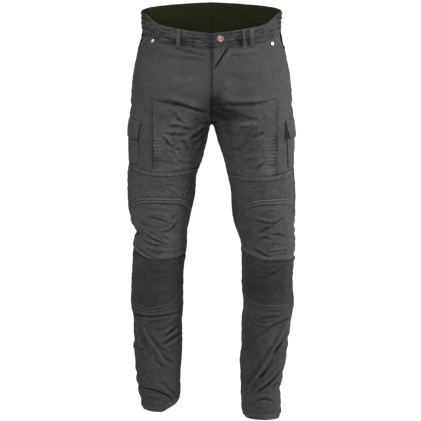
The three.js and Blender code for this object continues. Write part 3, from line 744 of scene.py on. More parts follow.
# Kinds of edge. Their tones paint shade along seam lines and under laps, and a lighter band beside stitching,
# part wear, part painted highlight
EDGES = {
    "over": Edge("-0.5 11.5 2.5", "0.12 4.5 3, -0.15 0 1.5, -0.08 11 2.5", (0.9, 7.5, 2.5), rows=TWO_ROWS,
                 reach=10, lap=1.4),
    "welt": Edge("-0.5 11.5 2.5", "0.12 3.4 2.6, -0.2 0 1.2, -0.14 9.5 2.5", (0.9, 7.5, 2.5), rows=TWO_ROWS,
                 reach=11, lap=1.4),
    # A pocket mouth, with painted shadow at the opening and beyond the stitching, and a lighter band beside
    # it
    "mouth": Edge("-0.5 11.5 2.5, 0.5 1.5 2.2", "0.24 3.6 2.4, -0.6 0 1.5, -0.3 9.5 2", (0.9, 7.5, 2.5),
                  rows=TWO_ROWS, pucker=0.8, reach=10, lap=1.4),
    "felled": Edge("-0.3 9 2", "0.05 4 2.5, -0.5 0 1.8", (0.5, 5, 3), rows=(1.9,), pucker=1.3, reach=8,
                   lap=1.4),
    "hem": Edge("-0.5 17 2.5", "0.1 1 3, -0.08 15 2", (0.9, 13, 2.5), rows=(12.0,), pucker=0.9),
    # Two cords of piping with stitched grooves beside them, with painted highlights on the cords and painted
    # shade in the grooves
    "arch": Edge("2.3 2 1.7, 2.5 9 1.9, -0.8 5.4 1.4, -1.2 14 3",
                 "0.27 2 1.6, 0.27 9 1.8, -0.3 5.4 1.6, -0.12 14 3", rows=(5.4,), pucker=0.6, reach=14,
                 lap=1.4),
    # Two thin cords, as round the foot of the knee patch, with painted highlights on the cords and painted
    # shade between them
    "pipe": Edge("2.1 1.8 1.5, 2.2 9 1.8, -0.7 5.4 1.5", "0.85 1.6 1.5, 0.85 9 1.7, -0.15 5.4 1.6",
                 rows=(5.4,), pucker=0.6, reach=11, lap=1.4),
    # A seam that draws the cloth in below it, with painted shadow along it
    "tuck": Edge("-1.2 0.5 3.2, 0.7 8.5 4", "-0.22 0.8 2.8", pucker=0.9, reach=4, lap=1.4),
    "flat": Edge("", "", pucker=0.8, reach=4, lap=1.4),
    "free": Edge("", "0.08 0.8 1.2", pucker=0.15),
    # An edge that dips under another's lap, with painted shadow along it
    "under": Edge("", "-0.45 0 2.6", sink=(1.1, 2.4)),
    "lost": Edge("", "-0.08 0 2", sink=(0.6, 2.0), pucker=0.8),
    # Cloth that bags out over the seam below it, with painted shade at the seam
    "roll": Edge("1.1 7 4, -0.5 16 5", "0.04 7 3.5, -0.3 0 2.6", sink=(1.1, 2.4), pucker=0.8),
    # An edge that nothing shapes
    None: Edge("", "", sink=(0, 1), pucker=0.0, reach=0),
}
# How much thinner a lapping edge is underneath
LAP_THIN = 1.2
# How far the crowding of rows at the crotch reaches
CROWD_REACH_U = 0.14

# Gathers beside the thigh's side seam: reach from the seam, height and pitch
GATHER = {"left": (34, 2.4), "right": (22, 2.3), "pitch": 9.2}


def gather_relief(side, z, points, d):
    """Puckers that run level into the side seam, strongest low on the thigh."""
    drift = 2.2 * noise(points, (17, 17, 17), 51)
    reach, height = GATHER[side]
    near = np.exp(-((d["end"] / reach) ** 2)) * mix(0.35, 1.0, ease((-280 - z) / 60))
    uneven = 0.55 + 0.7 * noise(points, (10, 10, 14), 53)
    return height * near * uneven * np.sin(2 * math.pi * (z + drift) / GATHER["pitch"])


# Ribs of the stretch panel: pitch and height of the level gathers, which wander and break up
RIBS = {"pitch": 5.8, "height": 1.1}


def rib_relief(side, z, points, d):
    """Level gathers that wander a little and fade towards the side edges."""
    drift = 3.2 * noise(points * (1, 1, 0), (28, 28, 28), 31) + 2.4 * noise(points, (12, 12, 26), 33)
    ring = np.sin(2 * math.pi * (d["top"] + drift) / RIBS["pitch"])
    strength = 0.75 + 0.5 * noise(points, (12, 12, 6), 35)
    wrinkle = 0.9 * noise(points, (7, 7, 2.4), 37) + 0.6 * noise(points, (3.4, 3.4, 2.2), 39)
    fade = ease(d["start"] / 8) * ease(d["end"] / 8) * ease(d["top"] / 5) * ease(d["bottom"] / 5)
    return fade * (RIBS["height"] * strength * ring + wrinkle)


def extent(surface, samples):
    """Millimetres across and down the middle of a surface."""
    line = np.linspace(0, 1, samples)
    middle = 0.5 + 0 * line
    return steps_of(surface(line, middle)).sum(), steps_of(surface(middle, line)).sum()


class Panel:
    """One piece of cloth on the trouser surface, between two lines of u and two seams.

    An edge has one kind, or one above the crotch and one below it.
    """

    # What a panel has unless it is given: crowd is the u that the rows crowd at and the share of them above
    # the crotch there, span is its share of the rows, and waves says how uneven it lies
    DEFAULTS = {"relief": None, "crowd": None, "grid": GRID, "span": (0.0, 1.0), "waves": 1.0,
                "slot": "denim", "speckle": 0.0, "offset": 0.0, "thickness": CLOTH}

    def __init__(self, name, side, colour, from_u, to_u, top, bottom, edges, **given):
        vars(self).update(self.DEFAULTS | given)
        self.name, self.side, self.colour = f"{name}_{side}", side, colour
        self.from_u, self.to_u = constant(from_u), constant(to_u)
        self.top, self.bottom = (seam if callable(seam) else seam_at(seam, side) for seam in (top, bottom))
        kinds = [kind if isinstance(kind, tuple) else (kind, kind) for kind in edges]
        self.edges = {edge: [EDGES[kind] for kind in pair] for edge, pair in zip(EDGE_NAMES, kinds)}

    def height(self, u, t):
        """z at u, a share t of the way down this panel's span of the rows."""
        t = mix(*self.span, t)
        z = mix(self.top(u), self.bottom(u), t)
        if self.crowd is None:
            return z
        seam_u, turning = self.crowd
        start, foot = self.top(seam_u), self.bottom(seam_u)
        turned = mix(start, CROTCH_Z, np.sin(clamp(t / turning) * QUARTER_TURN))
        rest = mix(CROTCH_Z, foot, clamp((t - turning) / (1 - turning)))
        share = (start - np.where(t < turning, turned, rest)) / (start - foot)
        near = clamp(1 - np.abs(u - seam_u) / CROWD_REACH_U) ** 2
        return mix(z, mix(self.top(u), self.bottom(u), share), near)

    def place(self, s, t):
        """u and z at grid place s, t."""
        u = mix(self.from_u(t), self.to_u(t), s)
        return u, self.height(u, t)

    def outline(self, s, t):
        return plain(self.side, *self.place(s, t))

    def places(self, length, first, last):
        """Grid places from 0 to 1 over a length, closer together near the edges first and last."""
        at = np.linspace(0, length, 600)
        step = np.full(len(at), self.grid)
        fine = min(EDGE_STEP, self.grid)
        for edge, away in ((first, at), (last, length - at)):
            reach = max(kind.reach for kind in self.edges[edge])
            if reach:
                step = np.minimum(step, mix(fine, self.grid, ease((away - reach) / 5)))
        count = np.concatenate([[0], np.cumsum(np.diff(at) / step[1:])])
        even = np.linspace(0, count[-1], max(4, round(count[-1])) + 1)
        return np.interp(even, count, at) / length

    def shares(self, edge, z):
        """The kinds of an edge, each with its share of the cloth at heights z."""
        below = ease((CROTCH_Z - z) / 8)
        return zip(self.edges[edge], (1 - below, below))

    def layers(self, s, t):
        """Outer and inner points at s, t, the outward direction, the height of the relief and the tone."""
        u, z = self.place(s, t)
        points, normal, scale = surface_frame(self.side, u, z)
        d = {"top": np.abs(self.height(u, 0 * t) - z), "bottom": np.abs(z - self.height(u, 0 * t + 1)),
             "start": np.abs(u - self.from_u(t)) * scale, "end": np.abs(self.to_u(t) - u) * scale}
        common = fold_total(self.side, u, points) + self.waves * cloth_waves(points)
        puckers = noise(points, (7, 7, 7), 11)
        relief, shared, thin, tone = np.zeros((4, len(u)))
        for edge, away in d.items():
            for kind, share in self.shares(edge, z):
                relief += share * kind.height(away)
                shared += share * kind.pucker * puckers * np.exp(-away / 9) * ease(1.4 - away / 24)
                if kind.lap:
                    thin = np.maximum(thin, share * LAP_THIN * (1 - ease((away - 1.5) / 2.5)))
                tone += share * kind.tone(away)
        if self.relief is not None:
            relief += self.relief(self.side, z, points, d)
        base = self.offset + common + shared
        outer = points + normal * (base + relief)[:, None]
        inner = points + normal * (base + np.minimum(relief, 0) - self.thickness + thin)[:, None]
        if self.speckle:
            tone -= self.speckle * ease((noise(points, (5, 5, 3.6), 61) - 0.3) / 0.3)
        return outer, inner, normal, common * 0.8 + 1.4 * shared + relief, tone

    def lapped(self, layer, flat):
        """A layer whose edges are pushed out along the flat cloth, as far as each kind of edge laps."""
        moved = layer.reshape(flat.shape).copy()
        for edge, rim, inside in (("top", np.s_[0, :], np.s_[1, :]), ("bottom", np.s_[-1, :], np.s_[-2, :]),
                                  ("start", np.s_[:, 0], np.s_[:, 1]), ("end", np.s_[:, -1], np.s_[:, -2])):
            laps = sum(share * kind.lap for kind, share in self.shares(edge, flat[rim][:, 2]))
            moved[rim] += unit(flat[rim] - flat[inside]) * laps[:, None]
        return moved.reshape(-1, 3)


def smooth_mesh(name, points, faces):
    mesh = bpy.data.meshes.new(name)
    mesh.from_pydata(points, [], faces)
    mesh.shade_smooth()
    return mesh


def grid_mesh(name, outer, inner, nu, nv):
    """A closed thin shell from two layers of points over a grid, with cloth lengths as UVs."""
    count = (nu + 1) * (nv + 1)
    index = np.arange(count).reshape(nv + 1, nu + 1)
    front = np.stack([index[:-1, :-1], index[:-1, 1:], index[1:, 1:], index[1:, :-1]], axis=-1).reshape(-1, 4)
    back = front[:, ::-1] + count
    rim = np.concatenate([index[0, :-1], index[:-1, -1], index[-1, :0:-1], index[:0:-1, 0]])
    after = np.roll(rim, -1)
    faces = np.concatenate([front, back, np.stack([rim + count, after + count, after, rim], axis=-1)])
    points = np.concatenate([outer, inner]) * MM
    corners = points[faces]
    volume = sum((corners[:, 0] * np.cross(corners[:, k], corners[:, k + 1])).sum() for k in (1, 2))
    if volume < 0:
        faces = faces[:, ::-1]
    mesh = smooth_mesh(name, points.tolist(), faces.tolist())
    grid = outer.reshape(nv + 1, nu + 1, 3)
    across, down = np.zeros((2, nv + 1, nu + 1))
    across[:, 1:] = np.cumsum(steps_of(grid, 1), axis=1)
    down[1:] = np.cumsum(steps_of(grid), axis=0)
    lengths = np.tile(np.stack([across, -down], axis=-1).reshape(-1, 2) * MM, (2, 1))
    layer = mesh.uv_layers.new(name="cloth")
    layer.data.foreach_set("uv", lengths[faces.reshape(-1)].reshape(-1).astype(np.float32))
    inside = np.zeros(len(faces), np.int32)
    inside[len(front):2 * len(front)] = 1
    mesh.polygons.foreach_set("material_index", inside)
    return mesh


def shade_of(points, height, edge_tone, seed):
    """Brightness of the cloth at each point: mottled wash, painted shade in hollows and lighter raised cloth
    (part wear, part painted highlight), a painted highlight on the sides of one leg, and the painted shade
    and highlight of the spots and edges.
    """
    wash_and_highlight = 0.07 * noise(points, (75, 75, 60), seed) + 0.06 * noise(points, (24, 24, 18), seed + 1)
    wash_and_highlight += 0.05 * noise(points, (11, 11, 8), seed + 2)
    # Painted shade in the hollows, and raised cloth lighter, part wear and part painted highlight
    wear_and_shade = WEAR_AND_SHADE["per_mm"] * np.clip(height, WEAR_AND_SHADE["low"], WEAR_AND_SHADE["high"])
    # A painted highlight on the sides of the left leg (x > 0), broken up into flecks by noise
    side_highlight = np.where(points[:, 0] > 0, 0.16 * side_share(points), 0)
    wash_and_highlight += side_highlight * (0.4 + noise(points, (6, 6, 7), seed + 3))
    # Spots of painted shade and painted highlight, with some places of the wash, on the front only
    tone = np.where(points[:, 1] < 0, sum(bumps_at(points, SHADE_AND_WASH_SPOTS)), 0)
    tone, edge_tone = np.clip(1 + tone, *SPOT_LIMITS), np.clip(1 + edge_tone, *EDGE_LIMITS)
    return np.maximum(LEAST_SHADE, (1 + wash_and_highlight + wear_and_shade) * tone * edge_tone)


def add_object(name, data, *materials):
    obj = bpy.data.objects.new(name, data)
    bpy.context.scene.collection.objects.link(obj)
    for material in materials:
        data.materials.append(material)
    return obj


def finish_piece(obj, slot, *nodes):
    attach(obj, "root")
    if nodes:
        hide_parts(*nodes)


# What each piece of cloth hangs from or lies on, without the side at the end of its name
HANGS_FROM = {
    "front": "waistband", "pocket_facing": "waistband", "back_yoke": "waistband", "belt_loop": "waistband",
    "fly": "front", "thigh_front": "front", "thigh_side": "front", "stretch_panel": "thigh_front",
    "knee_upper": "stretch_panel", "knee_patch": "knee_upper", "shin": "knee_patch",
    "back_seat": "back_yoke", "back_thigh": "back_seat", "back_calf": "back_thigh",
    "back_pocket": "back_seat", "cargo_pocket": "thigh_side", "cargo_flap": "cargo_pocket",
}


def rests_on(name):
    if name == "waistband":
        return []
    side = "right" if name.endswith("_right") else "left"
    stem = "belt_loop" if name.startswith("belt_loop") else name.removesuffix("_" + side)
    under = HANGS_FROM[stem]
    return ["waistband_cloth" if under == "waistband" else f"{under}_{side}_cloth"]


# Points along a row of stitching and where it starts, and the seed of the wash, on panels and patches
PANEL_ROWS, PANEL_SEED = (160, 0.004), 21
PATCH_ROWS, PATCH_SEED = (60, 0.01), 23
# Rows of stitching: points and normals on the cloth, to be sewn at the end
STITCHES = []


def build_sheet(name, colour, slot, layers, outline, places, size, rows, row_points, seed, lapped=None):
    columns, lines = places
    nu, nv = len(columns) - 1, len(lines) - 1
    s, t = (values.ravel() for values in np.meshgrid(columns, lines))
    across, down = size
    if lapped:
        # The outermost points step in by half the seam gap
        s, t = (np.clip(at, SEAM_GAP / 2 / span, 1 - SEAM_GAP / 2 / span) for at, span in zip((s, t), size))
    outer, inner, _, height, tone = layers(s, t)
    flat = outline(s, t).reshape(nv + 1, nu + 1, 3)
    if lapped:
        outer, inner = lapped(outer, flat), lapped(inner, flat)
    mesh = grid_mesh(name, outer, inner, nu, nv)
    shade = np.ones(len(mesh.vertices), np.float32)
    shade[:len(outer)] = shade_of(outer, height, tone, seed)
    mesh.attributes.new("shade", "FLOAT", "POINT").data.foreach_set("value", shade)
    obj = add_object(name + "_cloth", mesh, MATERIALS[colour], MATERIALS["inside"])
    finish_piece(obj, slot, name)
    rests_on(name)
    samples, ends = row_points
    line = np.linspace(ends, 1 - ends, samples)
    for edge, inset in rows:
        level = edge in ("top", "bottom")
        place = inset / (down if level else across)
        place = (place if edge in ("top", "start") else 1 - place) + 0 * line
        points, _, away, _, _ = layers(*((line, place) if level else (place, line)))
        STITCHES.append((points, away))


def build_panel(panel):
    size = extent(panel.outline, 40)
    places = panel.places(size[0], "start", "end"), panel.places(size[1], "top", "bottom")
    rows = [(edge, inset) for edge in EDGE_NAMES for inset in panel.edges[edge][0].rows]
    build_sheet(panel.name, panel.colour, panel.slot, panel.layers, panel.outline, places, size, rows,
                PANEL_ROWS, PANEL_SEED, panel.lapped)


def build_stitches(name, lines, material, slot):
    """Rows of stitches as small tapered threads, in one mesh."""
    radius, length, pitch = STITCH["radius"], STITCH["length"], STITCH["pitch"]
    threads = []
    for points, normal in lines:
        steps = np.concatenate([[0], np.cumsum(steps_of(points))])
        places = np.arange(pitch / 2, steps[-1] - pitch / 2, pitch)
        if len(places):
            at, ahead, away = (np.stack([np.interp(where, steps, values[:, k]) for k in range(3)], axis=1) for
                               where, values in ((places, points), (places + 0.5, points), (places, normal)))
            threads.append((at, unit(ahead - at), unit(away)))
    centre, way, away = (np.concatenate(values) for values in zip(*threads))
    side = unit(np.cross(way, away))
    rings = []
    for along, thick, lift in ((-0.5, 0.3, -0.1), (-0.28, 1.0, 0.16), (0.28, 1.0, 0.16), (0.5, 0.3, -0.1)):
        middle = centre + way * (along * length) + away * lift
        for angle in (0.25, 0.75, 1.25, 1.75):
            turn = math.pi * angle
            spread = side * math.cos(turn) + away * (0.75 * math.sin(turn))
            rings.append(middle + spread * (radius * thick))
    points = np.stack(rings, axis=1).reshape(-1, 3) * MM
    quads = [[r * 4 + k, r * 4 + (k + 1) % 4, (r + 1) * 4 + (k + 1) % 4, (r + 1) * 4 + k]
             for r in range(3) for k in range(4)]
    quads += [[3, 2, 1, 0], [12, 13, 14, 15]]
    faces = (np.array(quads)[None] + 16 * np.arange(len(centre))[:, None, None]).reshape(-1, 4)
    mesh = smooth_mesh(name, points.tolist(), faces.tolist())
    finish_piece(add_object(name, mesh, material), slot)


# Materials
def new_material(name):
    material = bpy.data.materials.new(name)
    material.use_nodes = True
    return material, material.node_tree, material.node_tree.nodes["Principled BSDF"]


def set_inputs(tree, node, inputs):
    """Gives sockets of a node a value, or links them to another socket."""
    for key, value in inputs.items():
        if isinstance(value, bpy.types.NodeSocket):
            tree.links.new(value, node.inputs[key])
        else:
            node.inputs[key].default_value = value


def add_node(tree, kind, inputs):
    node = tree.nodes.new("ShaderNode" + kind)
    set_inputs(tree, node, inputs)
    return node


def math_node(tree, operation, a, b):
    node = tree.nodes.new("ShaderNodeMath")
    node.operation = operation
    set_inputs(tree, node, {0: a, 1: b})
    return node.outputs[0]


def scaled(tree, value, factor, more):
    """value * factor + more."""
    return math_node(tree, "ADD", math_node(tree, "MULTIPLY", value, factor), more)


def tinted(tree, colour, level):
    """A colour made lighter and darker by a level."""
    node = tree.nodes.new("ShaderNodeVectorMath")
    node.operation = "SCALE"
    set_inputs(tree, node, {0: colour, "Scale": level})
    return node.outputs["Vector"]


def noise_node(tree, vector, scale, detail, stretch=None):
    if stretch:
        vector = add_node(tree, "Mapping", {"Scale": stretch, "Vector": vector}).outputs["Vector"]
    return add_node(tree, "TexNoise", {"Scale": scale, "Detail": detail, "Vector": vector}).outputs["Fac"]


def object_vector(tree):
    return tree.nodes.new("ShaderNodeTexCoord").outputs["Object"]


def bump(tree, strength, distance, height):
    node = add_node(tree, "Bump", {"Strength": strength, "Distance": distance, "Height": height})
    return node.outputs["Normal"]


def cloth_material(name, weave=1.0):
    """Washed twill: fine diagonal lines, uneven yarns along and across and a mottled wash, times the shade
    attribute, which holds wash, wear and painted shade and highlight.
    """
    material, tree, shader = new_material("cloth_" + name)
    uv = tree.nodes.new("ShaderNodeUVMap")
    uv.uv_map = "cloth"
    vector = uv.outputs["UV"]
    twill = add_node(tree, "TexWave", {"Scale": 320.0, "Distortion": 1.2, "Detail": 1.0, "Detail Scale": 2.0,
                                       "Vector": vector})
    twill.bands_direction = "DIAGONAL"
    warp = noise_node(tree, vector, 1.0, 3.0, (900, 70, 1))
    weft = noise_node(tree, vector, 1.0, 2.0, (60, 700, 1))
    mottle = noise_node(tree, vector, 1.0, 4.0, (130, 130, 1))
    fine = scaled(tree, warp, 0.30, math_node(tree, "MULTIPLY", weft, 0.16))
    fine = scaled(tree, mottle, MOTTLED[name], fine)
    fine = scaled(tree, twill.outputs["Fac"], 0.14, fine)
    level = math_node(tree, "ADD", fine, 1 - (0.30 + 0.5 * MOTTLED[name]))
    shade = tree.nodes.new("ShaderNodeAttribute")
    shade.attribute_name = "shade"
    level = math_node(tree, "MULTIPLY", level, shade.outputs["Fac"])
    set_inputs(tree, shader, {"Base Color": tinted(tree, COLOURS[name], level), "Roughness": 0.92,
                              "Specular IOR Level": 0.06, "Normal": bump(tree, 0.55 * weave, 0.0005, fine)})
    return material


def inside_material():
    """The inside: a plain cloth painted dark olive, darker than the outside, as painted shade."""
    material, tree, shader = new_material("inside")
    grain = noise_node(tree, object_vector(tree), 900.0, 2.0)
    set_inputs(tree, shader, {"Base Color": tinted(tree, COLOURS["inside"], scaled(tree, grain, 0.4, 0.8)),
                              "Roughness": 0.95, "Specular IOR Level": 0.05})
    return material


def thread_material():
    material, tree, shader = new_material("thread")
    tone = noise_node(tree, object_vector(tree), 60.0, 2.0)
    level = math_node(tree, "ADD", tone, 0.5)
    set_inputs(tree, shader, {"Base Color": tinted(tree, COLOURS["thread"], level), "Roughness": 0.6})
    return material


def metal_material(name, roughness):
    """Plated metal with fine scratches and a little tarnish."""
    material, tree, shader = new_material(name)
    vector = object_vector(tree)
    tarnish = noise_node(tree, vector, 420.0, 3.0)
    scratch = noise_node(tree, vector, 1.0, 2.0, (2600, 300, 300))
    set_inputs(tree, shader, {"Base Color": tinted(tree, COLOURS[name], scaled(tree, tarnish, 0.5, 0.72)),
                              "Metallic": 1.0, "Roughness": scaled(tree, scratch, 0.25, roughness),
                              "Normal": bump(tree, 0.25, 0.0002, scratch)})
    return material


MATERIALS = {name: cloth_material(name, 0.8 if name == "smooth" else 1.0) for name in MOTTLED}
MATERIALS["inside"] = inside_material()
MATERIALS["thread"] = thread_material()
MATERIALS["copper_metal"] = metal_material("copper_metal", 0.36)
MATERIALS["silver_metal"] = metal_material("silver_metal", 0.2)


# Camera first, then the cloth
VIEW = {"distance": 12.0, "rise_deg": 8.0, "target": (-0.0026, 0.0, -0.520), "width": 1.0946, "sensor": 36.0}


def add_aimed(name, data, place, target):
    obj = add_object(name, data)
    obj.location = place
    obj.rotation_euler = (Vector(target) - Vector(place)).to_track_quat("-Z", "Y").to_euler()
    return obj


def add_camera():
    camera = bpy.data.cameras.new("camera")
    camera.sensor_width = VIEW["sensor"]
    camera.lens = VIEW["sensor"] * VIEW["distance"] / VIEW["width"]
    camera.clip_end = 200.0
    rise_angle = math.radians(VIEW["rise_deg"])
    target = Vector(VIEW["target"])
    away = Vector((0, -math.cos(rise_angle), math.sin(rise_angle)))
    bpy.context.scene.camera = add_aimed("camera", camera, target + away * VIEW["distance"], target)


# Studio lights: place, size, power and colour
LIGHTS = {
    "key": ((-0.9, -2.6, 2.7), (0.9, 0.9), 262, (1, 1, 1)),
    "fill": ((0.5, -3.2, 0.2), (1.6, 1.6), 34, (1, 1, 1)),
    "rim": ((3.0, -0.3, 0.2), (0.8, 2.0), 195, (1.0, 0.93, 0.94)),
    "back": ((0, 3.0, 1.4), (2.4, 2.0), 110, (1, 1, 1)),
}
LIT_MIDDLE = (0, 0, -0.5)
FLOOR = {"reach": 60.0, "level": -1.9}


def add_studio():
    world = bpy.data.worlds.new("studio")
    world.use_nodes = True
    background = world.node_tree.nodes["Background"]
    set_inputs(world.node_tree, background, {"Color": (1, 1, 1, 1), "Strength": 0.22})
    bpy.context.scene.world = world
    for name, (place, size, power, colour) in LIGHTS.items():
        light = bpy.data.lights.new(name, "AREA")
        light.shape = "RECTANGLE"
        light.size, light.size_y = size
        light.energy, light.color = power, colour
        add_aimed(name, light, place, LIT_MIDDLE)
    floor = bpy.data.meshes.new("floor")
    reach, level = FLOOR["reach"], FLOOR["level"]
    corners = [(-reach, -reach, level), (reach, -reach, level), (reach, reach, level), (-reach, reach, level)]
    floor.from_pydata(corners, [], [(0, 1, 2, 3)])
    material, tree, shader = new_material("floor")
    set_inputs(tree, shader, {"Base Color": (0.4, 0.4, 0.4, 1), "Roughness": 0.9,
                              "Emission Color": (1, 1, 1, 1), "Emission Strength": 1.0})
    add_object("floor", floor, material)
    bpy.context.scene.view_settings.view_transform = "Standard"


# Front pockets
POCKET_MOUTH = {"top_u": 0.395, "meets_side": 0.62}
FACING = {"under": 0.04, "end_u": 0.485, "foot": -205, "behind": 1.6}


def mouth_u(t):
    return mix(POCKET_MOUTH["top_u"], 0.5, np.sin(clamp(t / POCKET_MOUTH["meets_side"]) * QUARTER_TURN))


def facing_u(t):
    return np.minimum(FACING["end_u"], mouth_u(t) - FACING["under"])


# The shares of rows above the crotch: of those from the yoke to the knee, and of the thigh front's
SEAT_ROWS = 10 / 22
FRONT_ROWS = 6 / 13


def panels_of(side):
    """Panels of one half, from the waistband down."""
    sewn = ("under", "under")
    front_centre, seat_centre = ("free", "over") if side == "left" else sewn
    return [
        Panel("front", side, "hip", 0, mouth_u, "band_bottom", "thigh",
              ("under", "lost", front_centre, "mouth")),
        Panel("pocket_facing", side, "thigh", facing_u, 0.5, "band_bottom", constant(FACING["foot"]),
              (None,) * 4, offset=-CLOTH - FACING["behind"], thickness=PATCH_THICKNESS),
        Panel("thigh_front", side, "thigh", 0, thigh_seam(side), "thigh", "stretch_top",
              ("tuck", "under", ("tuck", "under"), "felled"), crowd=(0, FRONT_ROWS), relief=gather_relief,
              grid=CREASE_GRID),
        Panel("thigh_side", side, "thigh", thigh_seam(side), 0.5, "thigh", "stretch_top",
              ("flat", "under", *sewn)),
        Panel("stretch_panel", side, "thigh", 0, 0.5, "stretch_top", "knee_arch", ("welt", "under", *sewn),
              relief=rib_relief, grid=RIB_GRID, waves=0.5, speckle=0.16),
        Panel("knee_upper", side, "knee", 0, 0.5, "knee_arch", "knee_seam", ("arch", "roll", *sewn),
              grid=CREASE_GRID),
        Panel("knee_patch", side, "smooth", 0, 0.5, "knee_seam", "knee_bottom", ("tuck", "pipe", *sewn),
              slot="denim_smooth", speckle=0.16),
        Panel("shin", side, "shin", 0, 0.5, "knee_bottom", "hem", ("under", "hem", *sewn), slot="denim_lower",
              grid=CREASE_GRID),
        Panel("back_yoke", side, "hip", 0.5, 1, "band_bottom", "yoke",
              ("under", "under", "over", seat_centre)),
        Panel("back_seat", side, "hip", 0.5, 1, "yoke", "back_knee", ("over", "under", "over", seat_centre),
              crowd=(1, SEAT_ROWS), span=(0, SEAT_ROWS)),
        Panel("back_thigh", side, "thigh", 0.5, 1, "yoke", "back_knee", ("over", "under", "over", "over"),
              crowd=(1, SEAT_ROWS), span=(SEAT_ROWS, 1)),
        Panel("back_calf", side, "shin", 0.5, 1, "back_knee", "hem", ("over", "hem", "over", "over"),
              slot="denim_lower"),
    ]


# Pieces that run on round both halves have w in place of u: it runs from the overlapping end of the band at
# the front, round the left side and the back to the right side, and on under the overlap
OVERLAP_END = -0.008
UNDERLAP_END = 2.075


def band_u(w):
    return np.where(w < 0, -w, np.where(w <= 1, w, np.where(w <= 2, 2 - w, w - 2)))


def band_line(seam, drop=0.0):
    """A seam of the band by w. Both halves have the same."""
    return lambda w: seam_at(seam, "left")(band_u(w)) - drop


def build_patch(name, side, u_range, z_range, thickness, lift, rows, colour="thigh", grid=GRID,
                relief_of=None, wear_and_shade=1.0):
    """A patch laid over the panels. lift(s, t, points) is its inner height over them.

    With no side it runs on round both halves and has w in place of u.
    """
    from_u, to_u, top, bottom = map(constant, (*u_range, *z_range))

    def locate(s, t):
        w = mix(from_u(t), to_u(t), s)
        z = mix(top(w), bottom(w), t)
        right = (w < 0) | ((w > 1) & (w < 2)) if side is None else np.full(len(w), side == "right")
        points, normal, fold = np.zeros((len(w), 3)), np.zeros((len(w), 3)), np.zeros(len(w))
        for half, mask in (("left", ~right), ("right", right)):
            if mask.any():
                u = band_u(w[mask])
                points[mask], normal[mask], _ = surface_frame(half, u, z[mask])
                fold[mask] = fold_total(half, u, points[mask])
        return points, normal, fold

    def outline(s, t):
        return locate(s, t)[0]

    across, down = extent(outline, 30)

    def layers(s, t):
        points, normal, fold = locate(s, t)
        waves = cloth_waves(points)
        base = fold + waves + lift(s, t, points)
        relief = np.zeros(len(s)) if relief_of is None else relief_of(s, t, points)
        puckers = noise(points, (6, 6, 6), 13)
        tone = np.zeros(len(s))
        free = EDGES["free"]
        for d in (t * down, (1 - t) * down, s * across, (1 - s) * across):
            relief += free.height(d)
            tone += free.tone(d)
            base += 0.5 * free.pucker * puckers * np.exp(-d / 8)
        outer = points + normal * (base + relief + thickness)[:, None]
        inner = points + normal * base[:, None]
        # The height that the painted shade and highlight follow: the relief, scaled for this patch, and its
        # folds and waves
        return outer, inner, normal, wear_and_shade * relief + 0.6 * (fold + waves), tone

    places = [np.linspace(0, 1, max(least, round(length / grid)) + 1)
              for least, length in ((2, across), (3, down))]
    build_sheet(name, colour, "denim", layers, outline, places, (across, down), rows, PATCH_ROWS, PATCH_SEED)


def band_lift(s, t, points):
    w = mix(OVERLAP_END, UNDERLAP_END, s)
    under = BAND_THICKNESS + 0.4
    buckle = 0.8 * noise(points * (1, 1, 0.2), (22, 22, 22), 41) * np.sin(math.pi * t)
    dips_from, dips_over = BAND_DIP
    return BAND_PROUD - BAND_THICKNESS - under * ease((w - dips_from) / dips_over) + buckle


def band_relief(s, t, points):
    """Soft creases that run along the band between its rows of stitching."""
    level = points * (1, 1, 0)
    drift = 0.10 * noise(level, (34, 34, 34), 43) + 0.05 * noise(level, (14, 14, 14), 45)
    strength = 0.55 + 0.6 * noise(points, (24, 24, 9), 47)
    creases = np.sin(2 * math.pi * (4.2 * (t + drift)))
    flat = 1 - ridge(mix(OVERLAP_END, UNDERLAP_END, s), BUTTON["u"], 0.035)
    broken = 1.7 * noise(points, (16, 16, 5), 49) + 0.7 * noise(points, (8, 8, 6), 50)
    return flat * (1.15 * strength * creases + broken)


def build_waistband():
    # The band's creases get three times the painted shade and highlight of a plain patch
    build_patch("waistband", None, (OVERLAP_END, UNDERLAP_END),
                (band_line("waist_top"), band_line("band_bottom", 1.5)), BAND_THICKNESS, band_lift,
                (("top", 2.2), ("bottom", 2.2)), colour="band", grid=GRID * 0.6, relief_of=band_relief,
                wear_and_shade=3.0)


FLY = {"width": 0.085, "foot": -214, "round_from": 0.72, "edge_lift": 0.2, "thin": -0.75}


def fly_edge(t):
    drop = clamp((t - FLY["round_from"]) / (1 - FLY["round_from"])) ** 2
    return FLY["width"] * np.sqrt(1 - 0.93 * drop)


def fly_lift(s, t, points):
    return mix(PATCH_LIFT, FLY["edge_lift"], ease((s - 0.6) / 0.4))


def fly_relief(s, t, points):
    return FLY["thin"] * ease((s - 0.5) / 0.5)


def build_fly():
    build_patch("fly", None, (OVERLAP_END, fly_edge), (band_line("band_bottom"), FLY["foot"]),
                PATCH_THICKNESS, fly_lift, (("end", 2.5),), colour="hip", grid=GRID * 0.7,
                relief_of=fly_relief)


# Belt loops: side, u of the middle, and width. The one at the back crosses from half to half.
LOOP = {"thickness": 1.4, "bow": 2.6, "drop": 8, "over": 1, "grid": 1.6, "inset": 1.6}
LOOPS = {
    "right_front": ("right", 0.235, 0.024),
    "left_front_inner": ("left", 0.232, 0.017),
    "left_front_outer": ("left", 0.268, 0.017),
    "right_back": ("right", 0.66, 0.024),
    "left_back": ("left", 0.66, 0.024),
    "back": (None, 1, 0.024),
}


def loop_lift(s, t, points):
    return BAND_PROUD + SEAM_GAP + 0.8 + LOOP["bow"] * np.sin(math.pi * t ** 1.3)


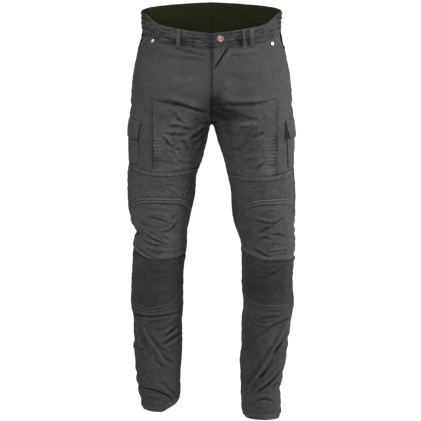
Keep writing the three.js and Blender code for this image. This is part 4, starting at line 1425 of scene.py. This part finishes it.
def build_loops():
    for name, (side, u, width) in LOOPS.items():
        build_patch("belt_loop_" + name, side, (u - width / 2, u + width / 2),
                    (band_line("waist_top", LOOP["over"]), band_line("band_bottom", LOOP["drop"])),
                    LOOP["thickness"], loop_lift, [(edge, LOOP["inset"]) for edge in ("start", "end")],
                    grid=LOOP["grid"])


CARGO = {
    "left": {"u": (0.405, 0.62), "z": (-292, -400), "turn_out": 9.0, "bellows": 3.2},
    "right": {"u": (0.385, 0.6), "z": (-292, -389), "turn_out": 2.5, "bellows": 1.4},
}
CARGO_FLAP = {"above": 16, "height": 48, "over": 0.006}
CARGO_ROWS = (("bottom", 2.0), ("bottom", 8.0), ("start", 2.0), ("end", 2.0))
BELLOWS = {"at": 0.07, "width": 0.05, "crown": 1.2}


def build_cargo(side):
    box = CARGO[side]

    def cargo_lift(s, t, points):
        pleat = box["bellows"] * ridge(np.minimum(s, 1 - s), BELLOWS["at"], BELLOWS["width"])
        crown = BELLOWS["crown"] * np.sin(math.pi * s) * np.sin(math.pi * t)
        return PATCH_LIFT + ease((t - 0.25) / 0.25) * (pleat + crown)

    def flap_lift(s, t, points):
        corner = ease((t - 0.2) / 0.8) * (0.25 + 0.75 * ease((0.45 - s) / 0.45))
        return PATCH_LIFT + (CLOTH + 2 * SEAM_GAP) * ease(t / 0.2) + box["turn_out"] * corner

    build_patch(f"cargo_pocket_{side}", side, box["u"], box["z"], CLOTH, cargo_lift, CARGO_ROWS)
    from_u, to_u = box["u"]
    top = box["z"][0] + CARGO_FLAP["above"]
    build_patch(f"cargo_flap_{side}", side, (from_u - CARGO_FLAP["over"], to_u + CARGO_FLAP["over"]),
                (top, top - CARGO_FLAP["height"]), CLOTH, flap_lift, (*CARGO_ROWS, ("top", 3.0)))


BACK_POCKET = {"from_u": 0.65, "to_u": 0.9, "taper_u": 0.012, "top": -128, "foot": -262, "point": 14}
BACK_POCKET_ROWS = (("top", 3.0), ("top", 15.0), ("bottom", 2.0), ("start", 2.0), ("end", 2.0),
                    ("bottom", 8.0), ("start", 8.0), ("end", 8.0))


def build_back_pocket(side):
    """A pointed patch pocket on the seat."""
    from_u, to_u, taper, top, foot, point = BACK_POCKET.values()
    middle, half_width = (from_u + to_u) / 2, (to_u - from_u) / 2
    build_patch(f"back_pocket_{side}", side, (lambda t: from_u + taper * t, lambda t: to_u - taper * t),
                (top, lambda u: foot - point * (1 - np.abs((u - middle) / half_width))), PATCH_THICKNESS,
                lambda s, t, points: PATCH_LIFT + 0 * s, BACK_POCKET_ROWS, colour="hip")


# Metal pieces turned about the direction of the cloth under them: places, and rings of radius (as a share of
# the piece's) and height
BUTTON = {"u": 0.058, "z": -60, "radius": 8.8, "sides": 48}
BUTTON_RINGS = rows_of("""
0 0, 0.5 0, 0.5 1.3, 0.9 1.5, 1 2.1, 0.99 2.7, 0.92 3.3, 0.84 3.5, 0.76 3.4, 0.7 2.8, 0.62 2.2, 0.5 2.2
0.42 2.7, 0.3 3.2, 0.15 3.45, 0 3.5
""")
RIVET = {"radius": 4.7, "left": (0.369, -77), "right": (0.359, -69), "sides": 32}
RIVET_RINGS = rows_of("0 0, 1 0, 1 0.45, 0.9 0.9, 0.62 1.15, 0.5 1, 0.42 1.1, 0.25 1.5, 0 1.6")


def build_turned(node, profile, radius, sides, side, u, z, lift, metal):
    points, normal, _ = surface_frame(side, np.array([u]), np.array([z]))
    moved = fold_total(side, np.array([u]), points)[0] + cloth_waves(points)[0]
    origin = Vector((points[0] + normal[0] * (lift + moved)) * MM)
    place = Matrix.Translation(origin) @ Vector(normal[0]).to_track_quat("Z", "Y").to_matrix().to_4x4()
    turns = [2 * math.pi * k / sides for k in range(sides)]
    rings = [[(r * radius * MM * math.cos(a), r * radius * MM * math.sin(a), h * MM) for a in turns]
             for r, h in profile[1:-1]]
    ends = [(0, 0, h * MM) for _, h in (profile[0], profile[-1])]
    points = [place @ Vector(p) for p in [ends[0], *(p for ring in rings for p in ring), ends[1]]]
    around = [(k, (k + 1) % sides) for k in range(sides)]
    faces = [(0, 1 + after, 1 + k) for k, after in around]
    for r in range(len(rings) - 1):
        low, high = 1 + r * sides, 1 + (r + 1) * sides
        faces += [(low + k, low + after, high + after, high + k) for k, after in around]
    last, top = 1 + (len(rings) - 1) * sides, len(points) - 1
    faces += [(last + k, last + after, top) for k, after in around]
    mesh = smooth_mesh(node + "_metal", [tuple(p) for p in points], faces)
    finish_piece(add_object(node + "_metal", mesh, MATERIALS[metal]), metal, node)


def build_metal():
    build_turned("waist_button", BUTTON_RINGS, BUTTON["radius"], BUTTON["sides"], "left", BUTTON["u"],
                 BUTTON["z"], BAND_PROUD + SEAM_GAP + 0.3, "copper_metal")
    for side in SIDES:
        build_turned(f"pocket_rivet_{side}", RIVET_RINGS, RIVET["radius"], RIVET["sides"], side, *RIVET[side],
                     SEAM_GAP + 0.5, "silver_metal")


add_camera()
add_studio()
build_waistband()
build_fly()
build_loops()
for half in SIDES:
    for piece in panels_of(half):
        build_panel(piece)
    build_cargo(half)
    build_back_pocket(half)
build_metal()
build_stitches("topstitching", STITCHES, MATERIALS["thread"], "denim")
